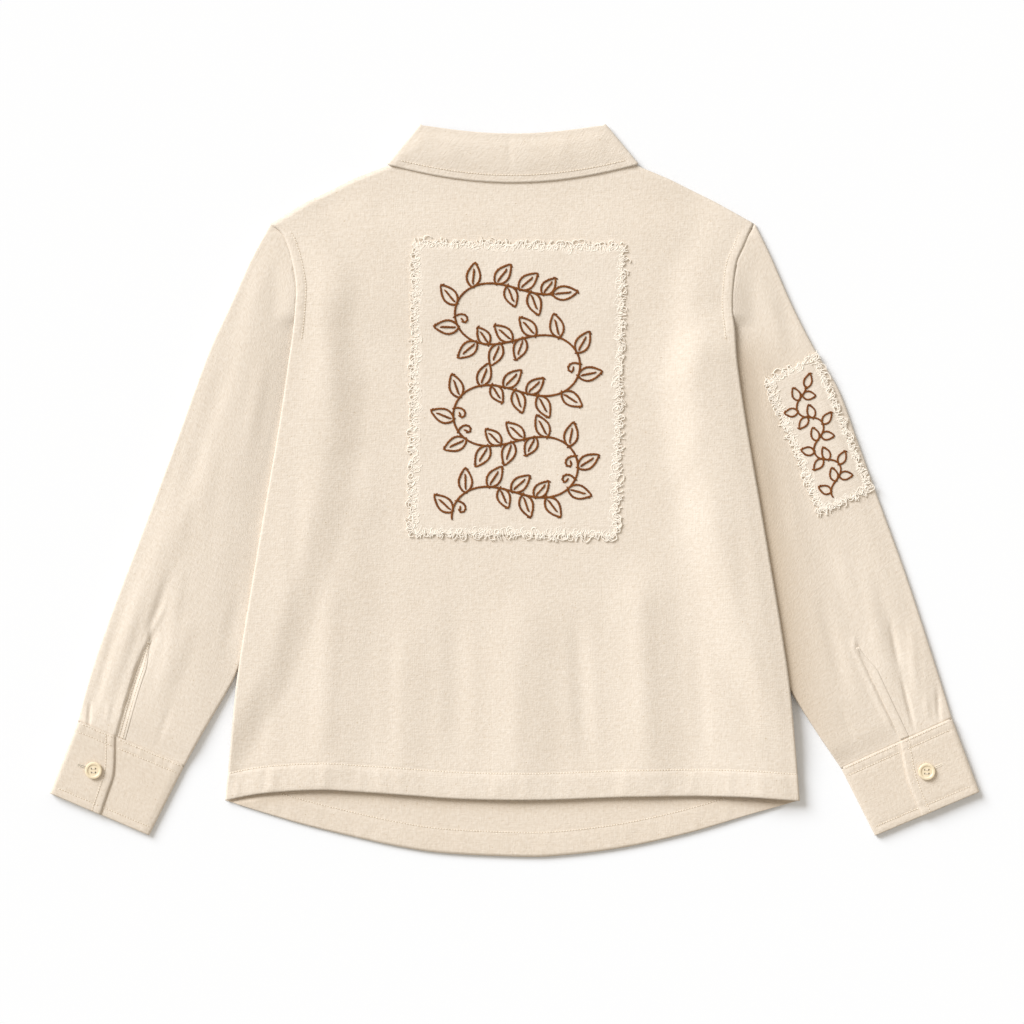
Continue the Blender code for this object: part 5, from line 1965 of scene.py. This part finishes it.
# %% The frayed edge recipe
def fray_recipe():
    """Lay wavy yarn ends across a path, and loose curls among them."""
    recipe = Recipe("frayed edge", Spacing=1.9 * MM, Reach=9.0 * MM, Spread=4.0 * MM,
                    Yarn=0.48 * MM, Seed=1)
    spots = recipe.spaced(recipe.path(), recipe.ask("Spacing"))

    def shaken(curves, amount, grain_mm, lift):
        """Shake real curves with noise, mostly in the plane of the cloth."""
        spot = recipe.node("GeometryNodeInputPosition")
        sockets = {"Vector": spot, "Scale": CLOTH_TO_MM / grain_mm, "Detail": 1.0}
        shake = recipe.node("ShaderNodeTexNoise", {}, sockets, "Color")
        centred = recipe.node("ShaderNodeVectorMath", {"operation": "SUBTRACT"},
                              {0: shake, 1: (0.5, 0.5, 0.5)})
        spread = recipe.node("ShaderNodeVectorMath", {"operation": "MULTIPLY"},
                             {0: centred, 1: (amount * MM, amount * MM, lift * MM)})
        return recipe.moved(curves, spread)

    end = recipe.node("GeometryNodeCurvePrimitiveLine", {},
                      {"Start": (0.0, -0.5, 0.0), "End": (0.0, 0.5, 0.0)})
    end = recipe.node("GeometryNodeResampleCurve", {"mode": "COUNT"}, {"Curve": end, "Count": 10})
    reach = recipe.ask("Reach") * recipe.chance(0.55, 1.2, 2)
    ends = recipe.lay(spots, end, recipe.facing(recipe.chance(-0.8, 0.8, 3)), reach)
    wavy = shaken(recipe.realized(recipe.toned(ends, 4)), 8.0, 6.0, 0.2)

    spread = recipe.ask("Spread")
    scatter = recipe.vector(recipe.chance(-1.0, 1.0, 5) * spread,
                            recipe.chance(-1.0, 1.0, 6) * spread, recipe.chance(0.0, 0.3 * MM, 7))
    curl = recipe.node("GeometryNodeCurveArc", {},
                       {"Resolution": 12, "Radius": 1.0, "Sweep Angle": 3.3})
    turned = recipe.turned(recipe.vector(recipe.chance(-0.03, 0.03, 8),
                                         recipe.chance(-0.03, 0.03, 9),
                                         recipe.chance(0.0, 6.28, 10)))
    radius = recipe.chance(1.7 * MM, 4.2 * MM, 11)
    curls = recipe.lay(recipe.moved(spots, scatter), curl, turned, radius)
    loose = shaken(recipe.realized(recipe.toned(curls, 12)), 5.0, 6.5, 0.2)
    recipe.serve(recipe.finished(recipe.tubes(wavy, recipe.ask("Yarn")), loose_yarn),
                 recipe.finished(recipe.tubes(loose, recipe.ask("Yarn")), loose_yarn))
    return recipe


fray = fray_recipe()

# %% Fray all four sides of both patches
FRAY_MIDDLE = 6.0
FOLDED_FRAY_MIDDLE = 3.6
FRAY_DROP = -0.38
FRAY_SIZES = by_name(table("name reach spread spacing", [
    ("back", 11.5, 4.2, 2.0),
    ("sleeve", 11.0, 3.4, 1.8),
]))


def on_patch(patch, inset, across, down, lift):
    """Give a point on a patch by its shares, lifted off its surface."""
    x, y = patch_corner(patch, inset, across, down)
    return x, y, patch_height(patch.name, x, y) + lift


def fray_line(patch, side):
    """Run along the middle of a frayed side, or nearer the edge at the sleeve's outer fold."""
    end = 1.0 if side in ("right", "low") else 0.0
    upright = side in ("left", "right")
    places = [(end, share) if upright else (share, end) for share in even_shares(50)]
    middle = FOLDED_FRAY_MIDDLE if (patch.name, side) == ("sleeve", "right") else FRAY_MIDDLE
    return [on_patch(patch, middle, across, down, FRAY_DROP) for across, down in places]


frays = {}
for patch in PATCHES.values():
    size = FRAY_SIZES[patch.name]
    for number, side in enumerate(("top", "right", "low", "left")):
        name = "%s_fray_%s" % (patch.name, side)
        piece = fray.make(name, [fray_line(patch, side)], Seed=10 + number, Reach=size.reach * MM,
                          Spread=size.spread * MM, Spacing=size.spacing * MM)
        dress(piece, "frayed_edge", "%s_fringe_%s" % (patch.name, side))
        frays.setdefault(patch.name, []).append(piece)

# %% [markdown]
# ### Embroidery
#
# The line is worked by hand in stem stitch: each stitch starts beside the
# middle of the one before, so the line looks like a thin rope. The design is a
# plain leafy vine, drawn with a few functions: a stem that swings from side to
# side, almond leaves with a rib, and curled tendrils.

# %% The stem stitch recipe
def stem_stitch_recipe():
    """Lay overlapping slanted stitches along paths."""
    recipe = Recipe("stem stitch", Pitch=2.7 * MM, Length=5.4 * MM, Width=2.05 * MM, Slant=0.26,
                    Seed=1)
    spots = recipe.spaced(recipe.path(), recipe.ask("Pitch"))
    bead = recipe.node("GeometryNodeMeshUVSphere", {}, {"Segments": 8, "Rings": 5, "Radius": 0.5})
    flat = recipe.node("GeometryNodeTransform", {},
                       {"Geometry": bead, "Rotation": (0.0, 0.5 * math.pi, 0.0)})
    width = recipe.ask("Width") * recipe.chance(0.92, 1.06, 2)
    length = recipe.ask("Length") * recipe.chance(0.92, 1.08, 3)
    facing = recipe.facing(recipe.ask("Slant") + recipe.chance(-0.05, 0.05, 1))
    laid = recipe.lay(spots, flat, facing, recipe.vector(length, width, width * 0.72))
    recipe.serve(recipe.finished(recipe.toned(laid, 4), brown_thread))
    return recipe


stem_stitch = stem_stitch_recipe()

# %% Leaves and tendrils, drawn in millimetres
LEAF_SHARPNESS = 0.8
LEAF_FULLNESS = 0.9
RIB_ENDS = (0.2, 0.66)


def turned_to(point, angle, forward, aside=0.0):
    """Go forward and aside from a point, looking along an angle in degrees."""
    turn = math.radians(angle)
    return (point[0] + forward * math.cos(turn) - aside * math.sin(turn),
            point[1] + forward * math.sin(turn) + aside * math.cos(turn))


def leaf(base, angle, length, width, ribbed):
    """Draw an almond leaf as one closed line, with a rib of its own where wanted."""
    outline = []
    for turn in steps(0.0, 2.0, 0.05):
        side = 1.0 if turn < 1.0 else -1.0
        share = min(turn, 2.0 - turn)
        swell = max(math.sin(math.pi * share ** LEAF_SHARPNESS), 0.0) ** LEAF_FULLNESS
        outline.append(turned_to(base, angle, length * share, side * 0.5 * width * swell))
    rib = [turned_to(base, angle, length * share) for share in steps(*RIB_ENDS, 0.1)]
    return [outline, rib] if ribbed else [outline]


def tendril(base, angle, size, way):
    """Draw a stalk that curls up into a spiral."""
    line = [base]
    for turn in steps(0.0, 1.0, 0.04):
        heading = angle + way * math.degrees(5.4 * turn ** 1.5)
        line.append(turned_to(line[-1], heading, 0.12 * size * (1.0 - 0.62 * turn)))
    return [line]


print("a leaf is drawn with", len(leaf((0.0, 0.0), 0.0, 20.0, 10.0, False)[0]), "points")

# %% A vine that swings from side to side
LEAF_ANGLE = 56.0
TENDRIL_ANGLE = 70.0
TENDRIL_SIZE = 0.45
INNER_LEAST = 0.55
INNER_MOST = 0.93


def vine(plan):
    """Draw a stem that swings as it climbs, with leaves and tendrils along it."""
    step = 2.0
    here = (plan.x, plan.y)
    line = [here]
    motifs = []
    since = 0.55 * plan.leaf_step
    side = 1.0
    for number in range(round(plan.length / step)):
        turn = 2.0 * math.pi * (number * step / plan.meander + 0.25)
        heading = 90.0 + plan.swing * math.cos(turn)
        here = turned_to(here, heading, step)
        line.append(here)
        since += step
        if since >= plan.leaf_step and number * step < plan.length - 0.4 * plan.leaf_length:
            inner = max(-side * math.sin(turn), 0.0)
            outer = max(side * math.sin(turn), 0.0)
            if inner < INNER_LEAST:
                length = plan.leaf_length * (1.0 - 0.34 * inner + 0.02 * outer)
                width = plan.leaf_width * (1.0 - 0.2 * inner)
                motifs += leaf(here, heading + side * LEAF_ANGLE, length, width, plan.ribbed)
            elif inner > INNER_MOST and plan.ribbed:
                size = TENDRIL_SIZE * plan.leaf_length
                motifs += tendril(here, heading + side * TENDRIL_ANGLE, size, side)
            since = 0.0
            side = -side
    last = leaf(here, heading, 1.05 * plan.leaf_length, plan.leaf_width, plan.ribbed)
    return [line] + motifs + last

# %% The two vines
VINES = by_name(table("name x y length meander swing leaf_step leaf_length leaf_width ribbed", [
    ("back", 24.5, 2.0, 760.0, 322.0, 105.5, 11.4, 24.5, 13.5, True),
    ("sleeve", 12.5, 3.0, 150.0, 62.0, 62.0, 5.5, 13.8, 8.0, False),
]))
WORKED = by_name(table("name wide tall lift thread_width stitch pitch", [
    ("back", 176.0, 262.0, 0.35, 2.05, 5.4, 2.7),
    ("sleeve", 44.0, 128.0, 0.3, 1.75, 4.6, 2.1),
]))


def sewn_on(patch, lines, area):
    """Place a design's lines in the middle of a patch, on its surface."""
    width, height = patch_size(patch)
    placed = []
    for line in lines:
        points = []
        for x, y in line:
            across = 0.5 + (x - 0.5 * area.wide) / width
            down = 0.5 - (y - 0.5 * area.tall) / height
            points.append(on_patch(patch, 0.0, across, down, area.lift))
        placed.append(points)
    return placed


for name, area in WORKED.items():
    lines = sewn_on(PATCHES[name], vine(VINES[name]), area)
    piece = stem_stitch.make(name + "_embroidery", lines, Width=area.thread_width * MM,
                             Length=area.stitch * MM, Pitch=area.pitch * MM)
    dress(piece, "patch_canvas")

# %% [markdown]
# ### Buttons, their thread and their buttonholes
#
# The buttons are turned solids already, so they keep their shape and only get a
# better finish. Thread runs through their four holes, and a buttonhole is a
# slit edged with close stitches, which a zigzag of thread gives.

# %% A thread laid along a path
def thread_recipe():
    """Give paths the round section of a thread."""
    recipe = Recipe("laid thread", Radius=0.3 * MM, Seed=1)
    tubes = recipe.tubes(recipe.path(), recipe.ask("Radius"))
    recipe.serve(recipe.finished(tubes, sewing_thread))
    return recipe


laid_thread = thread_recipe()

# %% Thread through the buttons, and the buttonholes
BUTTONHOLES = {"left": (-0.938, 0.347), "right": (0.904, 0.427)}
BUTTON_BASE = CUFF_FLAP_TOP + LAYER_GAP
DISH_TOP = BUTTON_BASE + BUTTON_THICK - 0.8
STRAND_LIFT = 0.15
STRAND_APART = 0.32
STRAND_TURN = 0.8
STRAND_DEEP = 2.0
HOLE_ENDS = (-4.0, 17.5)
HOLE_STEP = 0.34
HOLE_HALF = 0.2
HOLE_EDGE = 1.1
HOLE_SINK = 0.08


def button_threads(side):
    """Pass thread through the four holes, in two strands."""
    x, y = BUTTON_PLACES[side]
    strands = []
    for along in (-BUTTON_HOLE_OFFSET, BUTTON_HOLE_OFFSET):
        for beside in (-STRAND_APART, STRAND_APART):
            strand = []
            for share in steps(-1.0, 1.0, 0.2):
                down = max(abs(share) - STRAND_TURN, 0.0) / (1.0 - STRAND_TURN)
                z = DISH_TOP + STRAND_LIFT - STRAND_DEEP * down
                strand.append((x + BUTTON_HOLE_OFFSET * share, y + along + beside, z))
            strands.append(strand)
    return strands


def buttonhole(side):
    """Zigzag round a slit that runs from under the button to the cuff's end."""
    x, y = BUTTON_PLACES[side]
    way = BUTTONHOLES[side]
    lines = []
    for edge in (-1.0, 1.0):
        line = []
        for number, reach in enumerate(steps(*HOLE_ENDS, HOLE_STEP)):
            aside = edge * (HOLE_HALF + HOLE_EDGE * (number % 2))
            place = (x + way[0] * reach - way[1] * aside, y + way[1] * reach + way[0] * aside)
            line.append((*place, flap_top_at(CUFFS[side], *place) - HOLE_SINK))
        lines.append(line)
    return lines


for side in SIDES:
    threads = laid_thread.make("button_%s_thread" % side, button_threads(side), Radius=0.2 * MM)
    hole = laid_thread.make("buttonhole_%s_stitches" % side, buttonhole(side), Radius=0.36 * MM)
    sewn["threads_" + side] = dress(threads, "canvas")
    sewn["buttonhole_" + side] = dress(hole, "canvas")

# %% The buttons' finish
def horn_finish():
    """Make ivory button plastic, faintly clouded, with a soft polish."""
    finish = Finish("ivory button", 0.34, 0.5)
    spot = finish.node("ShaderNodeTexCoord", {}, {}, "Object")
    cloud = finish.node("ShaderNodeTexNoise", {}, {"Vector": spot, "Scale": 240.0, "Detail": 3.0})
    colour = finish.blend(cloud, (0.78, 0.64, 0.42, 1.0), (0.90, 0.80, 0.61, 1.0))
    finish.feed("Base Color", colour)
    finish.feed("Roughness", cloud * 0.18 + 0.26)
    finish.bump(cloud, 0.05)
    return finish.material


ivory = horn_finish()
for side in SIDES:
    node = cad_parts["button_" + side]
    for place in node.material_slots:
        place.material = ivory
    print(node.name, "is finished in", ivory.name)

# %% [markdown]
#
# Each sheet has a row below with how large it was cut and its area, and
# prints that area.

# %% Say what each piece of cloth was cut to
CUTS = by_name(table("name width length area", [
    ("back", 0.575, 0.645, 0.308),
    ("front", 0.575, 0.690, 0.317),
    ("sleeve_left", 0.330, 0.530, 0.1185),
    ("sleeve_right", 0.340, 0.530, 0.124),
    ("cuff", 0.250, 0.078, 0.0186),
    ("collar_fall", 0.530, 0.062, 0.0284),
    ("collar_stand", 0.430, 0.046, 0.0164),
    ("back_patch", 0.193, 0.276, 0.0528),
    ("sleeve_patch", 0.044, 0.134, 0.0056),
    ("placket", 0.011, 0.092, 0.00101),
]))


def declare(piece, name):
    """Print the area of cloth that one laid sheet was cut from."""
    cut = CUTS[name]
    print(piece.name, "was cut from", cut.area, "square metres")


declare(front_cloth, "front")
declare(back_cloth, "back")
declare(collar_cloth, "collar_fall")
declare(collar_stand, "collar_stand")
declare(patches["back"], "back_patch")
declare(patches["sleeve"], "sleeve_patch")
for side in SIDES:
    declare(sleeves[side], "sleeve_" + side)
    declare(cuffs[side], "cuff")
    declare(plackets[side], "placket")

# %% [markdown]
# ## Table, light and camera
#
# A garment is photographed flat on a pale board, under one broad soft light
# from the upper left and a bright room that fills the shadows. A sun lamp with
# a wide angle gives that light evenly over the whole board, which an area lamp
# near by wouldn't. The camera hangs high above with a long lens, so the shirt
# is seen without perspective.

# %% A pale table
TABLE_REACH = 6.0
TABLE_CLEAR = 0.3 * MM
table_top = bpy.data.meshes.new("table_top")
corners = [(x * TABLE_REACH, y * TABLE_REACH, 0.0) for x, y in ((-1, -1), (1, -1), (1, 1), (-1, 1))]
table_top.from_pydata(corners, [], [(0, 1, 2, 3)])
floor = put_in_scene("pale_table", table_top)
floor.location.z = -TABLE_CLEAR
pale = Finish("pale table", 0.9, 0.0)
pale.feed("Base Color", (0.885, 0.908, 0.94, 1.0))
table_top.materials.append(pale.material)
print("the table is", 2.0 * TABLE_REACH, "m wide")

# %% Soft light from the upper left, and a bright room
world = bpy.data.worlds.new("bright room")
world.use_nodes = True
room = world.node_tree.nodes["Background"]
room.inputs["Color"].default_value = (1.0, 0.925, 0.82, 1.0)
room.inputs["Strength"].default_value = 0.56
bpy.context.scene.world = world
bpy.context.scene.view_settings.view_transform = "Standard"
LIGHT_FROM = Vector((-1.0, 0.9, 0.74))
softbox = bpy.data.lights.new("softbox", "SUN")
softbox.energy = 3.68
softbox.angle = math.radians(32.0)
softbox.color = (1.0, 1.02, 1.055)
lamp = put_in_scene("softbox", softbox)
lamp.rotation_euler = LIGHT_FROM.to_track_quat("Z", "Y").to_euler()
print("the light is", round(math.degrees(softbox.angle)), "degrees wide")

# %% A camera straight above
CAMERA_HEIGHT = 3.0
CAMERA_OVER = (-2.5 * MM, -21.5 * MM)
FRAME_MM = 1024.0
CLOTH_LEVEL = 0.005
SENSOR = 36.0
camera_data = bpy.data.cameras.new("camera")
camera_data.sensor_width = SENSOR
camera_data.lens = SENSOR * (CAMERA_HEIGHT - CLOTH_LEVEL) / (FRAME_MM * MM)
camera_data.clip_end = 50.0
camera = put_in_scene("camera", camera_data)
camera.location = (*CAMERA_OVER, CAMERA_HEIGHT)
bpy.context.scene.camera = camera
print("the camera has a lens of", round(camera_data.lens), "mm")
